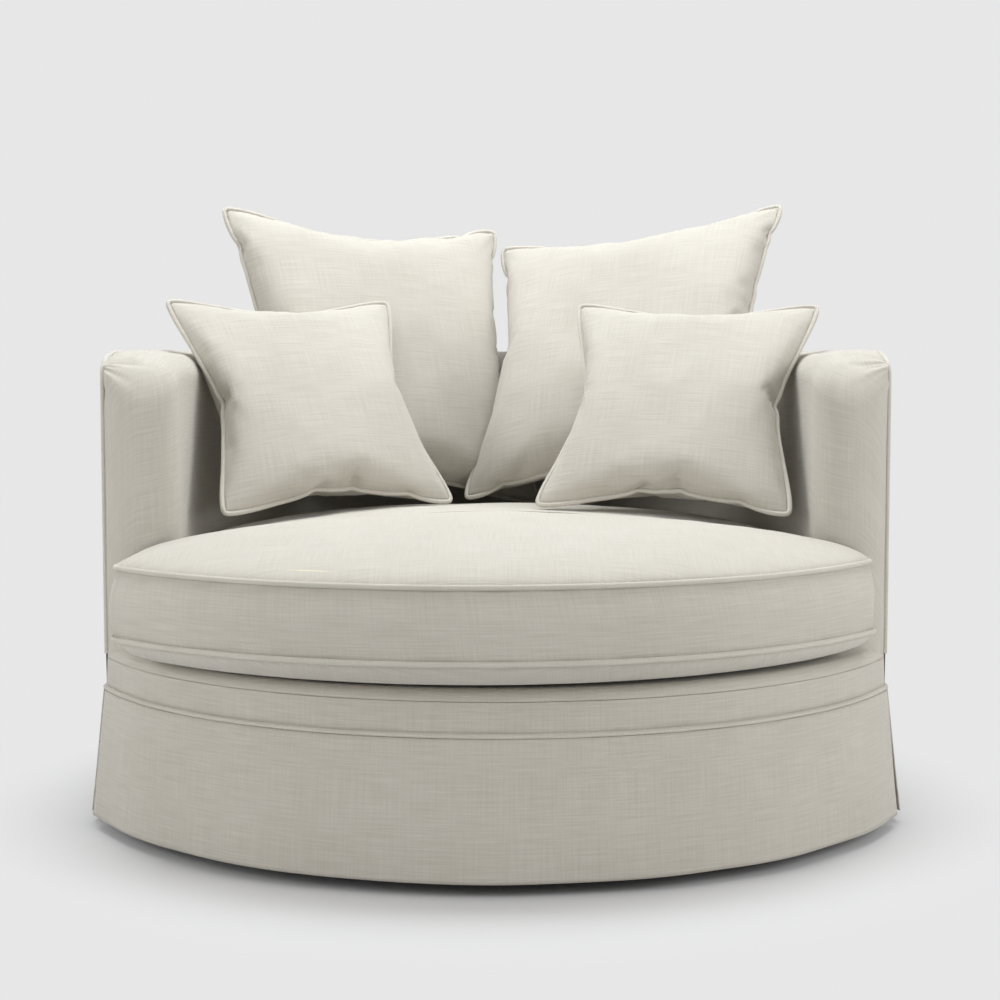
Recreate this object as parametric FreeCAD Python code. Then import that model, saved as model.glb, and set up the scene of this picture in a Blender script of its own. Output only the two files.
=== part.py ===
import FreeCAD, Part

import math
import os

from FreeCAD import Placement, Rotation
from FreeCAD import Vector as V

# Round cuddle chair in linen: a half-round tub on a round-fronted base with a
# kick-pleat skirt, a loose T-shaped seat cushion and four loose back pillows.
# Millimetres, +Z up, the front faces -Y. The plan is drawn about the centre of
# the front arc and moved at export, so that the origin is under the middle.

# Plan of the upholstered body
half_width = 650.0          # outside of the arms
front_radius = 721.0        # front band, drawn about the plan centre
back_centre_y = -147.0      # centre of the half-round back
arm_thickness = 120.0
nose_front_y = -352.0       # furthest point of an arm front
nose_edge_y = -310.0        # where an arm front meets the outer welt
nose_centre_inset = 62.0    # from the outside of the arm to the nose's middle
nose_inner_radius = 58.0

# Levels
ring_bottom = 125.0
ring_thickness = 18.0
seat_ring_top = 260.0
mid_rail_bottom = 325.0
rail_thickness = 18.0
top_rail_top = 755.0
tub_top = 790.0
deck_top = 300.0
band_top = 282.0
skirt_top = 229.0
hem_height = 20.0

# Layers, counted inwards from the outside of the cover
layer_gap = 0.3             # between one layer and the next
cover_thickness = 2.5
pad_gap = 0.8               # between a cover and the faceted pad inside it
board_thickness = 3.0
rail_depth = 40.0
webbing_thickness = 2.2
band_foam_thickness = 12.0
ring_width = 70.0
felt_thickness = 3.0
arm_drop = 48.0             # how far the top line falls towards an arm front
arm_fall_length = 140.0
inner_roll_radius = 45.0
roll_steps = 4              # straight steps along the rolled edge, the fronts and the back
nose_outer_steps = 4
nose_inner_steps = 5
back_steps = 30
deck_front_steps = 18
nose_pivot_y = -268.0       # rear end of an arm front, on the outside
arm_station_y = (-268.0, -240.0, -212.0, -147.0)
tub_room_out = 3.0          # room cut for the tub: beyond its outside, and beyond its face
tub_room_gap = 1.3
fall_steps = 6
deck_roll_radius = 17.0

# Skirt
skirt_thickness = 3.0
pleat_thickness = 2.5
pleat_width = 120.0
pleat_slit = 4.0
hem_flare = 20.0

# Welt cord in its fabric
welt_radius = 3.5
welt_proud = 1.0            # the tub welt's centre outside both covers
welt_clear = 0.3
welt_inset = 1.0            # the skirt welt's centre inside the skirt's face
cord_sides = 6
cord_turn = 30.0            # a cord's straight steps: largest turn and length
cord_chord = 70.0

# Seat cushion
seat_centre_x = -30.0       # centre of its front arc
seat_top_radius = 752.0
seat_bottom_radius = 775.0
seat_left_x = -594.0
seat_right_x = 603.0
seat_ear_clear = 8.0        # behind an ear, in front of the arm
seat_side_clear = 9.0
seat_corner_radius = 22.0
seat_ear_radius = 10.0
seat_notch_radius = 12.0
seat_boxing_bottom = 346.5
seat_boxing_top = 454.0
seat_crown = 66.0
seat_belly_share = 0.2      # how far in from its edge the cushion meets the deck
seat_dome_y = -200.0        # middle of the crown
seat_rest_clear = 0.3
seat_chord = 60.0           # longest straight step along a curve of the outline
seat_turn = 30.0            # largest turn between two of them
seat_crown_steps = 5
seat_crown_full = 78.0      # degrees of the dome's section that the crown follows
seat_belly_steps = 3

# Zip in the back of the seat cushion's boxing
zip_tape_height = 24.0
zip_tape_thickness = 1.0
zip_teeth_height = 6.0
zip_teeth_thickness = 1.4
zip_half_angle = 34.0
slider_length = 10.0
slider_height = 9.0
slider_thickness = 2.2
pull_length = 22.0
pull_width = 5.0
pull_thickness = 1.0

# Pillows: side across, side up, half thickness, centre, turn, lean and roll
# how far the sides, and the top and bottom, pull in as a share of half a side: small, large
pillow_pull = ((0.15, 0.06), (0.10, 0.07))
pillow_large = 500.0
pillow_fullness = 0.8       # 1 is a lens, less is fuller towards the seam
pillow_steps = 6
pillow_core_steps = 4
pillow_fill_edge = 14.0
pillow_fill_gap = 0.8
pillows = {
    "back_pillow_left": (590.0, 590.0, 80.0, (-220.8, 245.8, 782.5), (29.7, -22.2, 2.7)),
    "back_pillow_right": (590.0, 590.0, 80.0, (246.8, 207.1, 795.9), (-27.9, -32.8, -8.1)),
    "scatter_pillow_left": (440.0, 440.0, 58.0, (-335.6, -32.3, 702.8), (30.2, -34.3, -0.7)),
    "scatter_pillow_right": (440.0, 440.0, 58.0, (325.0, -96.0, 700.0), (-17.2, -37.0, 0.9)),
}

# Legs and what holds them
glide_height = 6.0
glide_radius = 16.0
glide_pin_radius = 2.5
glide_pin_length = 20.0
leg_top_radius = 28.0
leg_foot_radius = 19.0
leg_collar = 12.0           # straight part at the top of a leg
leg_front_angle = 40.0      # from straight ahead, about the plan centre
leg_back_angle = 45.0       # from straight back, about the back's centre
bolt_radius = 4.0
bolt_clear = 0.3
bolt_below = 40.0           # length in the leg
block_side = 80.0
block_height = 38.0
tee_flange_radius = 11.0
tee_flange_thickness = 1.5
tee_barrel_radius = 5.2
tee_barrel_length = 12.0
dust_thickness = 1.5
dust_clear = 2.0            # inside the covers and round each leg

# Posts of the frame
post_width = 34.0
base_post_angles_front = (-56.0, -20.0, 0.0, 20.0, 56.0)
base_post_angles_back = (-84.0, -63.0, -22.0, 0.0, 22.0, 63.0, 84.0)
tub_post_angles = (-90.0, -60.0, -30.0, 0.0, 30.0, 60.0, 90.0)
arm_panel_thickness = 18.0
arm_panel_round = 30.0      # its upper corner on the seat side
arm_panel_setback = 66.0    # from the nose's front to the panel's front face
arm_panel_inner = 25.0      # foam beside the panel on the seat side
stretcher_width = 40.0
stretcher_height = 60.0
stretcher_x = 300.0
stretcher_end_gap = 12.0

# Seat webbing
strap_width = 60.0
strap_pitch = 120.0
strap_front_inset = 45.0
strap_side_inset = 52.0
strap_flat_margin = 8.0     # level length past each crossing
strap_layer_gap = 0.4
long_strap_count = 9
cross_strap_first_y = -560.0
cross_strap_count = 8
back_strap_width = 50.0
back_strap_angles = (-75.0, -45.0, -15.0, 15.0, 45.0, 75.0)

# Levels and layers that follow from those above
board_in = cover_thickness + layer_gap
frame_in = board_in + board_thickness + layer_gap
frame_back = frame_in + rail_depth
back_strap_in = frame_back + layer_gap
foam_in = back_strap_in + webbing_thickness + layer_gap
band_foam_in = cover_thickness + layer_gap
front_board_in = band_foam_in + band_foam_thickness + layer_gap
front_frame_in = front_board_in + board_thickness + layer_gap
seat_ring_bottom = seat_ring_top - ring_thickness
ring_top = ring_bottom + ring_thickness
mid_rail_top = mid_rail_bottom + rail_thickness
top_rail_bottom = top_rail_top - rail_thickness
webbing_bottom = seat_ring_top + layer_gap
webbing_top = webbing_bottom + 2 * webbing_thickness + strap_layer_gap
tub_bottom = webbing_top + layer_gap
felt_bottom = webbing_top + layer_gap
pad_bottom = felt_bottom + felt_thickness + layer_gap
inner_half = half_width - arm_thickness
skirt_in = -(layer_gap + pleat_thickness + pad_gap)
skirt_out = skirt_in - skirt_thickness
hem_reach = hem_flare - skirt_out
front_reach = seat_bottom_radius + 2 * welt_radius + welt_clear
back_reach = back_centre_y + half_width + hem_reach
plan_shift = V(0, (front_reach - back_reach) / 2, 0)

Z = V(0, 0, 1)
X = V(1, 0, 0)
Y = V(0, 1, 0)
tall = 3000.0               # longer than anything that it trims


# Drawing helpers

def line(a, b):
    return Part.LineSegment(a, b).toShape()


def arc(a, b, c):
    return Part.Arc(a, b, c).toShape()


def on_circle(centre, radius, degrees):
    """A point of a level circle, counted from +X towards +Y."""
    turn = math.radians(degrees)
    return V(centre.x + radius * math.cos(turn), centre.y + radius * math.sin(turn), centre.z)


def arc_about(centre, radius, start, end):
    return arc(on_circle(centre, radius, start), on_circle(centre, radius, (start + end) / 2),
               on_circle(centre, radius, end))


def closed_face(edges):
    return Part.Face(Part.Wire(Part.__sortEdges__(edges)))


def prism(edges, bottom, top):
    solid = closed_face(edges).extrude(V(0, 0, top - bottom))
    solid.translate(V(0, 0, bottom))
    return solid


def block(x0, x1, y0, y1, z0, z1):
    return Part.makeBox(x1 - x0, y1 - y0, z1 - z0, V(x0, y0, z0))


def upright(radius, x, y, bottom, top):
    return Part.makeCylinder(radius, top - bottom, V(x, y, bottom))


def turned(solid, centre, degrees):
    """A solid drawn towards +Y, turned about a vertical line."""
    copy = solid.copy()
    copy.rotate(centre, Z, degrees)
    return copy


def corner_y(side_in, front_in):
    """Where the front arc meets a side, for outlines set in by these amounts."""
    return -math.sqrt((front_radius - front_in) ** 2 - (half_width - side_in) ** 2)


def base_outline(side_in, front_in):
    """Round front, straight sides and half-round back, set inwards."""
    half = half_width - side_in
    turn = math.degrees(math.acos(half / (front_radius - front_in)))
    corner = corner_y(side_in, front_in)
    back = V(0, back_centre_y, 0)
    return [arc_about(V(0, 0, 0), front_radius - front_in, -180 + turn, -turn),
            line(V(half, corner, 0), V(half, back_centre_y, 0)),
            arc_about(back, half, 0, 180),
            line(V(-half, back_centre_y, 0), V(-half, corner, 0))]


def horseshoe(outer_in, inner_in, front_y, bottom, top):
    """A wall along both sides and round the back, open at the front."""
    back = V(0, back_centre_y, 0)
    outer, inner = half_width - outer_in, half_width - inner_in
    edges = [arc_about(back, outer, 0, 180), arc_about(back, inner, 0, 180)]
    for side in (-1, 1):
        edges += [line(V(side * outer, back_centre_y, 0), V(side * outer, front_y, 0)),
                  line(V(side * outer, front_y, 0), V(side * inner, front_y, 0)),
                  line(V(side * inner, front_y, 0), V(side * inner, back_centre_y, 0))]
    return prism(edges, bottom, top)


def front_wall(outer_in, inner_in, side_in, bottom, top):
    """A wall along the front arc, from one side of the body to the other."""
    outer, inner = front_radius - outer_in, front_radius - inner_in
    limit = half_width - side_in
    outer_turn = math.degrees(math.acos(limit / outer))
    inner_turn = math.degrees(math.acos(limit / inner))
    centre = V(0, 0, 0)
    edges = [arc_about(centre, outer, -180 + outer_turn, -outer_turn),
             arc_about(centre, inner, -180 + inner_turn, -inner_turn)]
    for start, end in ((-180 + outer_turn, -180 + inner_turn), (-outer_turn, -inner_turn)):
        edges.append(line(on_circle(centre, outer, start), on_circle(centre, inner, end)))
    return prism(edges, bottom, top)


def cord_ring(place, along, up, radius):
    """Corner points of a cord's section, square to its path."""
    beside = along.cross(up)
    ring = []
    for step in range(cord_sides):
        turn = 2 * math.pi / cord_sides * (step + 0.5)
        ring.append(place + up * (radius * math.cos(turn)) + beside * (radius * math.sin(turn)))
    return ring


def cord(edges, radius, up, closed=False):
    """A cord along joined edges, mitred at their corners, in flat faces."""
    places = []
    for edge in edges:
        curved = isinstance(edge.Curve, Part.Circle)
        turn = math.degrees(edge.LastParameter - edge.FirstParameter)
        steps = max(math.ceil(turn / cord_turn), math.ceil(edge.Length / cord_chord)) if curved else 1
        span = edge.LastParameter - edge.FirstParameter
        for step in range(steps):
            at = edge.FirstParameter + span * step / steps
            places.append((edge.valueAt(at), edge.tangentAt(at)))
    ends = [edge.tangentAt(edge.LastParameter) for edge in edges]
    if not closed:
        places.append((edges[-1].valueAt(edges[-1].LastParameter), ends[-1]))
    starts = {}
    for before, edge in zip(ends[-1:] + ends[:-1], edges):
        starts[tuple(edge.valueAt(edge.FirstParameter))] = before
    rings = []
    for index, (place, along) in enumerate(places):
        before = starts.get(tuple(place), along)
        if index == 0 and not closed:
            before = along
        middle = (before + along).normalize()
        side = up(place)
        stretch = 1 / math.cos(before.getAngle(along) / 2)
        ring = cord_ring(V(0, 0, 0), middle, side, radius)
        if stretch > 1.001:
            across = (along - before).normalize()
            ring = [p + across * (p.dot(across) * (stretch - 1)) for p in ring]
        rings.append([place + p for p in ring])
    faces = []
    pairs = list(zip(rings, rings[1:] + rings[:1])) if closed else list(zip(rings, rings[1:]))
    for first, second in pairs:
        faces += flat_strip(first, second)
    if not closed:
        faces += [Part.Face(Part.makePolygon(ring + ring[:1])) for ring in (rings[0], rings[-1])]
    return closed_solid(faces)


def flat_strip(first, second):
    """Flat faces between two rings with the same number of points."""
    faces = []
    for k in range(len(first)):
        after = (k + 1) % len(first)
        quad = [first[k], first[after], second[after], second[k]]
        for half in (quad[:3], quad[2:] + quad[:1]):
            sides = [half[1] - half[0], half[2] - half[1]]
            if sides[0].cross(sides[1]).Length > 1e-6:
                faces.append(Part.Face(Part.makePolygon(half + half[:1])))
    return faces


def closed_solid(faces):
    skin = Part.makeShell(faces)
    skin.sewShape()
    solid = Part.makeSolid(Part.Shell(skin.Faces))
    if solid.Volume < 0:
        solid.reverse()
    return solid


# Tub: arms and back

def fall_level(y, length, drop):
    """How far an arc that falls by drop over length has come down, y before its top."""
    radius = (length ** 2 + drop ** 2) / (2 * drop)
    return radius - math.sqrt(radius ** 2 - y ** 2)


def tub_level(y, face_in):
    """Level of the tub's top: flat, then falling in an arc towards the arm fronts."""
    start = nose_front_y + arm_fall_length
    length = arm_fall_length - face_in
    before = min(max(0.0, start - y), length)
    return tub_top - face_in - fall_level(before, length, arm_drop - face_in)


def nose_stations(face_in, outer_in):
    """Round front of the right arm, from the outer welt to the seat side.

    Each station is a point of the face, the way into the body there, and the
    share of the rolled edge that it has."""
    middle_x = half_width - nose_centre_inset
    outer_x = half_width - outer_in
    centre_y = ((nose_centre_inset ** 2 + nose_edge_y ** 2 - nose_front_y ** 2)
                / (2 * (nose_edge_y - nose_front_y)))
    radius = centre_y - nose_front_y - face_in
    first = math.degrees(math.asin((outer_x - middle_x) / radius))
    stations = []
    for step in range(nose_outer_steps):
        share = step / nose_outer_steps
        turn = -90 + first * (1 - share)
        point = on_circle(V(middle_x, centre_y, 0), radius, turn)
        stations.append((point, on_circle(V(0, 0, 0), -1, turn), math.sin(math.pi / 2 * share)))
    inner = V(middle_x, nose_front_y + nose_inner_radius, 0)
    for step in range(nose_inner_steps + 1):
        turn = -90 - 90 * step / nose_inner_steps
        point = on_circle(inner, nose_inner_radius - face_in, turn)
        stations.append((point, on_circle(V(0, 0, 0), -1, turn), 1.0))
    return stations


def tub_stations(face_in, outer_in):
    """Pairs across the tub, from the right arm front round the back to the left one."""
    outer, inner = half_width - outer_in, inner_half + face_in
    pivot = V(outer, nose_pivot_y, 0)
    right = [(pivot, point, way, roll) for point, way, roll in nose_stations(face_in, outer_in)]
    for y in arm_station_y:
        right.append((V(outer, y, 0), V(inner, y, 0), X, 1.0))
    left = [(V(-a.x, a.y, 0), V(-b.x, b.y, 0), V(-way.x, way.y, 0), roll)
            for a, b, way, roll in reversed(right)]
    back = V(0, back_centre_y, 0)
    middle = []
    for step in range(1, back_steps):
        turn = 180 * step / back_steps
        middle.append((on_circle(back, outer, turn), on_circle(back, inner, turn),
                       on_circle(V(0, 0, 0), 1, turn), 1.0))
    return right + middle + left


def tub_plan(face_in, outer_in):
    """Plan of the tub as a closed line of points."""
    stations = tub_stations(face_in, outer_in)
    points = []
    for point in [a for a, b, way, roll in stations] + [b for a, b, way, roll in reversed(stations)]:
        if not points or point.distanceToPoint(points[-1]) > 0.01:
            points.append(point)
    return Part.Face(Part.makePolygon(points + points[:1]))


def tub_solid(face_in, outer_in, bottom):
    """Arms and back as one padded form with a rolled inner edge, in flat faces."""
    rings = []
    for a, b, way, roll in tub_stations(face_in, outer_in):
        radius = max(0.2, (inner_roll_radius - face_in) * roll)
        ring = [V(a.x, a.y, bottom), V(a.x, a.y, tub_level(a.y, face_in))]
        for step in range(roll_steps, -1, -1):
            turn = math.pi / 2 * step / roll_steps
            point = b + way * (radius * (1 - math.cos(turn)))
            level = tub_level(point.y, face_in) - radius * (1 - math.sin(turn))
            ring.append(V(point.x, point.y, level))
        rings.append(ring + [V(b.x, b.y, bottom)])
    faces = []
    for first, second in zip(rings, rings[1:]):
        faces += flat_strip(first, second)
    for ring in (rings[0], rings[-1]):
        anchor = ring[0]
        for p, q in zip(ring[1:], ring[2:]):
            faces.append(Part.Face(Part.makePolygon([anchor, p, q, anchor])))
    return closed_solid(faces)


def arm_panel_shape(side, grow=0.0):
    front = nose_front_y + arm_panel_setback
    x0, x1 = inner_half + arm_panel_inner - grow, half_width - frame_in + grow
    panel = block(x0, x1, front - grow, front + arm_panel_thickness + grow,
                  seat_ring_top, top_rail_top + grow)
    upper = [edge for edge in panel.Edges
             if edge.BoundBox.ZMin > top_rail_top - 1 and edge.BoundBox.YLength > 1
             and edge.BoundBox.XLength < 1]
    panel = panel.makeFillet(arm_panel_round, upper[:1] if upper[0].BoundBox.XMax < x1 - 1 else upper[1:])
    return panel if side > 0 else panel.mirror(V(0, 0, 0), X)


def tub_front_y():
    """Front end of the rails, behind the arm panels."""
    return nose_front_y + arm_panel_setback + arm_panel_thickness + layer_gap


def frame_post(angle, bottom, top):
    """An upright between two rings of the half-round back, or beside an arm."""
    post = block(-post_width / 2, post_width / 2, half_width - frame_back,
                 half_width - frame_in, bottom, top)
    outside = upright(half_width - frame_in, 0, 0, bottom, top)
    post = post.common(outside)
    post.translate(V(0, back_centre_y, 0))
    return turned(post, V(0, back_centre_y, 0), angle)


def tub_frame():
    front = tub_front_y()
    pieces = {}
    pieces["arm_front_panels"] = [arm_panel_shape(-1), arm_panel_shape(1)]
    pieces["mid_rail"] = [horseshoe(frame_in, frame_back, front, mid_rail_bottom, mid_rail_top)]
    pieces["top_rail"] = [horseshoe(frame_in, frame_back, front, top_rail_bottom, top_rail_top)]
    pieces["lower_posts"] = [frame_post(a, seat_ring_top, mid_rail_bottom) for a in tub_post_angles]
    pieces["upper_posts"] = [frame_post(a, mid_rail_top, top_rail_bottom) for a in tub_post_angles]
    straps = []
    for angle in back_strap_angles:
        ring = upright(half_width - back_strap_in, 0, 0, mid_rail_bottom, top_rail_top)
        ring = ring.cut(upright(half_width - back_strap_in - webbing_thickness, 0, 0,
                                mid_rail_bottom, top_rail_top))
        width = block(-back_strap_width / 2, back_strap_width / 2, 0, half_width,
                      mid_rail_bottom, top_rail_top)
        strap = ring.common(width)
        strap.translate(V(0, back_centre_y, 0))
        straps.append(turned(strap, V(0, back_centre_y, 0), angle))
    pieces["back_webbing"] = straps
    return pieces


def above_arms():
    """Room over the falling tops of the arms, for trimming the outside cover."""
    start = nose_front_y + arm_fall_length
    profile = [V(-tall / 2, nose_front_y, tall), V(-tall / 2, start, tall)]
    for step in range(fall_steps + 1):
        y = start + (nose_front_y - start) * step / fall_steps
        profile.append(V(-tall / 2, y, tub_level(y, 0.0) - board_in))
    return Part.Face(Part.makePolygon(profile + profile[:1])).extrude(V(tall, 0, 0))


def tub_covers():
    pieces = {}
    inset = cover_thickness
    outer = tub_solid(0.0, board_in, tub_bottom)
    lining = tub_solid(inset, board_in - 1.0, tub_bottom - 1.0)
    pieces["inside_cover"] = [outer.cut(lining)]
    foam = tub_solid(inset + pad_gap, board_in + layer_gap, tub_bottom)
    room = horseshoe(-1.0, foam_in, tub_front_y() - layer_gap, 0.0, top_rail_top + layer_gap)
    foam = foam.cut(room)
    for side in (-1, 1):
        foam = foam.cut(arm_panel_shape(side, layer_gap))
    pieces["tub_foam"] = [foam]
    edge = corner_y(0.0, cover_thickness) + layer_gap
    wall = horseshoe(0.0, cover_thickness, edge, ring_bottom, tub_top - board_in)
    pieces["outside_cover"] = [wall.cut(above_arms())]
    pieces["outer_board"] = [horseshoe(board_in, board_in + board_thickness,
                                       tub_front_y(), ring_bottom, top_rail_top)]
    return pieces


def outward(place):
    """Level direction away from the middle of the seat, at a point of the tub's edge."""
    if place.y <= back_centre_y:
        return V(math.copysign(1, place.x), 0, 0)
    return V(place.x, place.y - back_centre_y, 0).normalize()


def tub_welt():
    """Cord up one arm front, round the top of the back and down the other."""
    out = half_width + welt_proud
    high = tub_top + welt_proud
    front = nose_edge_y - welt_proud
    low = band_top + 2 * welt_radius
    fall_start = nose_front_y + arm_fall_length
    reach = fall_start - front
    knee = high - fall_level(reach, arm_fall_length, arm_drop)
    middle = V(out, front + reach / 2, high - fall_level(reach / 2, arm_fall_length, arm_drop))
    right = [line(V(out, front, low), V(out, front, knee)),
             arc(V(out, front, knee), middle, V(out, fall_start, high)),
             line(V(out, fall_start, high), V(out, back_centre_y, high))]
    left = [arc_about(V(0, back_centre_y, high), out, 90, 180),
            line(V(-out, back_centre_y, high), V(-out, fall_start, high)),
            arc(V(-out, fall_start, high), V(-middle.x, middle.y, middle.z), V(-out, front, knee)),
            line(V(-out, front, knee), V(-out, front, low))]
    back = [arc_about(V(0, back_centre_y, high), out, 0, 90)]
    return {"tub_welt": [cord(right + back + left, welt_radius, outward)]}


# Base

def leg_places():
    places = []
    ring_middle = front_radius - front_frame_in - ring_width / 2
    back_middle = half_width - frame_in - ring_width / 2
    for side in (-1, 1):
        places.append(on_circle(V(0, 0, 0), ring_middle, -90 + side * leg_front_angle))
        places.append(on_circle(V(0, back_centre_y, 0), back_middle, 90 + side * leg_back_angle))
    return places


def ring(bottom, top):
    outer = prism(base_outline(frame_in, front_frame_in), bottom, top)
    inner = prism(base_outline(frame_in + ring_width, front_frame_in + ring_width),
                  bottom - 1, top + 1)
    return outer.cut(inner)


def base_posts():
    posts = []
    post = block(-post_width / 2, post_width / 2, -ring_width / 2, ring_width / 2,
                 ring_top, seat_ring_bottom)
    for angle in base_post_angles_front:
        copy = post.copy()
        copy.translate(V(0, -(front_radius - front_frame_in - ring_width / 2 - 1.0), 0))
        posts.append(turned(copy, V(0, 0, 0), angle))
    for angle in base_post_angles_back:
        copy = post.copy()
        copy.translate(V(0, half_width - frame_in - ring_width / 2 - 1.0 + back_centre_y, 0))
        posts.append(turned(copy, V(0, back_centre_y, 0), angle))
    inside = prism(base_outline(frame_in, front_frame_in), ring_top, seat_ring_bottom)
    return [post.common(inside) for post in posts]


def stretchers():
    """Two rails on edge under the webbing, from the front of the ring to its back."""
    bars = []
    bottom = ring_top
    for side in (-1, 1):
        bar = block(side * stretcher_x - stretcher_width / 2, side * stretcher_x + stretcher_width / 2,
                    -tall / 2, tall / 2, bottom, bottom + stretcher_height)
        room = prism(base_outline(frame_in + stretcher_end_gap, front_frame_in + stretcher_end_gap), bottom,
                     bottom + stretcher_height)
        bars.append(bar.common(room))
    return bars


def legs():
    pieces = {"legs": [], "leg_glides": [], "leg_bolts": [], "leg_blocks": [], "tee_nuts": []}
    leg_top = ring_bottom - layer_gap - dust_thickness - layer_gap
    block_top = ring_top + block_height
    for place in leg_places():
        x, y = place.x, place.y
        profile = [V(0, 0, glide_height), V(leg_foot_radius, 0, glide_height),
                   V(leg_top_radius, 0, leg_top - leg_collar), V(leg_top_radius, 0, leg_top),
                   V(0, 0, leg_top)]
        leg = Part.Face(Part.makePolygon(profile + profile[:1])).revolve(V(0, 0, 0), Z, 360)
        leg.translate(V(x, y, 0))
        bore_bottom = leg_top - bolt_below
        leg = leg.cut(upright(bolt_radius + bolt_clear, x, y, bore_bottom - bolt_clear, leg_top))
        leg = leg.cut(upright(glide_pin_radius + bolt_clear, x, y, glide_height,
                              glide_height + glide_pin_length + bolt_clear))
        pieces["legs"].append(leg)
        glide = Part.makeCone(glide_radius - 1.5, glide_radius, 1.5, V(x, y, 0))
        glide = glide.fuse(upright(glide_radius, x, y, 1.5, glide_height - bolt_clear))
        glide = glide.fuse(upright(glide_pin_radius, x, y, 1.0, glide_height + glide_pin_length))
        pieces["leg_glides"].append(glide.removeSplitter())
        base = block(x - block_side / 2, x + block_side / 2, y - block_side / 2, y + block_side / 2,
                     ring_top, block_top)
        base = base.common(prism(base_outline(frame_in, front_frame_in), ring_top, block_top))
        base = base.cut(upright(bolt_radius + bolt_clear, x, y, 0, block_top))
        base = base.cut(upright(tee_barrel_radius + bolt_clear, x, y,
                                block_top - tee_barrel_length, block_top))
        pieces["leg_blocks"].append(base)
        nut = upright(tee_barrel_radius, x, y, block_top - tee_barrel_length + bolt_clear,
                      block_top + tee_flange_thickness)
        nut = nut.fuse(upright(tee_flange_radius, x, y, block_top,
                               block_top + tee_flange_thickness))
        nut = nut.cut(upright(bolt_radius + 0.1, x, y, ring_top, tall))
        pieces["tee_nuts"].append(nut)
        pieces["leg_bolts"].append(upright(bolt_radius, x, y, bore_bottom,
                                           block_top + tee_flange_thickness + 2))
    return pieces


def base_frame():
    pieces = legs()
    pieces["base_ring"] = [ring(ring_bottom, ring_top)]
    pieces["seat_ring"] = [ring(seat_ring_bottom, seat_ring_top)]
    pieces["base_posts"] = base_posts()
    pieces["stretchers"] = stretchers()
    for place in leg_places():
        hole = upright(bolt_radius + bolt_clear, place.x, place.y, 0, ring_top + 1)
        pieces["base_ring"] = [pieces["base_ring"][0].cut(hole)]
    sheet = prism(base_outline(board_in + dust_clear, board_in + dust_clear),
                  ring_bottom - layer_gap - dust_thickness, ring_bottom - layer_gap)
    for place in leg_places():
        sheet = sheet.cut(upright(leg_top_radius + dust_clear, place.x, place.y, 0, ring_bottom))
    pieces["dust_cover"] = [sheet]
    return pieces


# Seat suspension: straps woven over and under each other

def strap_levels(start, end, crossings):
    """Side view of one strap: (distance, level) points, low where it passes under."""
    flat = strap_width / 2 + strap_flat_margin
    low, high = webbing_bottom, webbing_bottom + webbing_thickness + strap_layer_gap
    points = [(start, low)]
    for place, over in crossings:
        if not over:
            continue
        rise = strap_pitch / 2 - flat
        for offset, level in ((-flat - rise, low), (-flat, high), (flat, high), (flat + rise, low)):
            distance = min(max(place + offset, start), end)
            points.append((distance, level))
    points.append((end, low))
    tidy = [points[0]]
    for point in points[1:]:
        if point[0] - tidy[-1][0] > 0.5:
            tidy.append(point)
        elif point[1] > tidy[-1][1]:
            tidy[-1] = (tidy[-1][0], point[1])
    return tidy


def strap_solid(points, centre, lengthwise):
    lower = [V(0, d, z) for d, z in points]
    upper = [V(0, d, z + webbing_thickness) for d, z in reversed(points)]
    face = Part.Face(Part.makePolygon(lower + upper + lower[:1]))
    strap = face.extrude(V(strap_width, 0, 0))
    strap.translate(V(-strap_width / 2, 0, 0))
    if lengthwise:
        strap.translate(V(centre, 0, 0))
    else:
        strap.rotate(V(0, 0, 0), Z, -90)
        strap.translate(V(0, centre, 0))
    return strap


def seat_webbing():
    front = front_radius - strap_front_inset
    side = half_width - strap_side_inset
    long_straps, cross_straps = [], []
    for index in range(long_strap_count):
        x = (index - (long_strap_count - 1) / 2) * strap_pitch
        edge = abs(x) + strap_width / 2
        long_straps.append((x, -math.sqrt(front ** 2 - edge ** 2),
                            back_centre_y + math.sqrt(side ** 2 - edge ** 2)))
    for index in range(cross_strap_count):
        y = cross_strap_first_y + index * strap_pitch
        reach = side
        if y - strap_width / 2 < 0:
            reach = min(reach, math.sqrt(front ** 2 - (y - strap_width / 2) ** 2))
        if y + strap_width / 2 > back_centre_y:
            reach = min(reach, math.sqrt(side ** 2 - (y + strap_width / 2 - back_centre_y) ** 2))
        cross_straps.append((y, -reach, reach))

    def meets(centre, start, end):
        return start < centre + strap_width / 2 and end > centre - strap_width / 2

    lengthwise, crosswise = [], []
    for i, (x, start, end) in enumerate(long_straps):
        crossings = [(y, (i + j) % 2 == 0) for j, (y, left, right) in enumerate(cross_straps)
                     if meets(y, start, end) and meets(x, left, right)]
        lengthwise.append(strap_solid(strap_levels(start, end, crossings), x, True))
    for j, (y, left, right) in enumerate(cross_straps):
        crossings = [(x, (i + j) % 2 == 1) for i, (x, start, end) in enumerate(long_straps)
                     if meets(y, start, end) and meets(x, left, right)]
        crosswise.append(strap_solid(strap_levels(left, right, crossings), y, False))
    return {"lengthwise_webbing": lengthwise, "crosswise_webbing": crosswise}


# Deck and front band

def deck_ring(inset, front_in, level):
    """Round front in short straight steps, straight sides and a half-round back."""
    front, sides, back, left = base_outline(inset, front_in)
    points = []
    for edge, steps in ((front, deck_front_steps), (sides, 1), (back, back_steps // 2), (left, 1)):
        span = edge.LastParameter - edge.FirstParameter
        for step in range(steps):
            place = edge.valueAt(edge.FirstParameter + span * step / steps)
            points.append(V(place.x, place.y, level))
    return points


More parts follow.
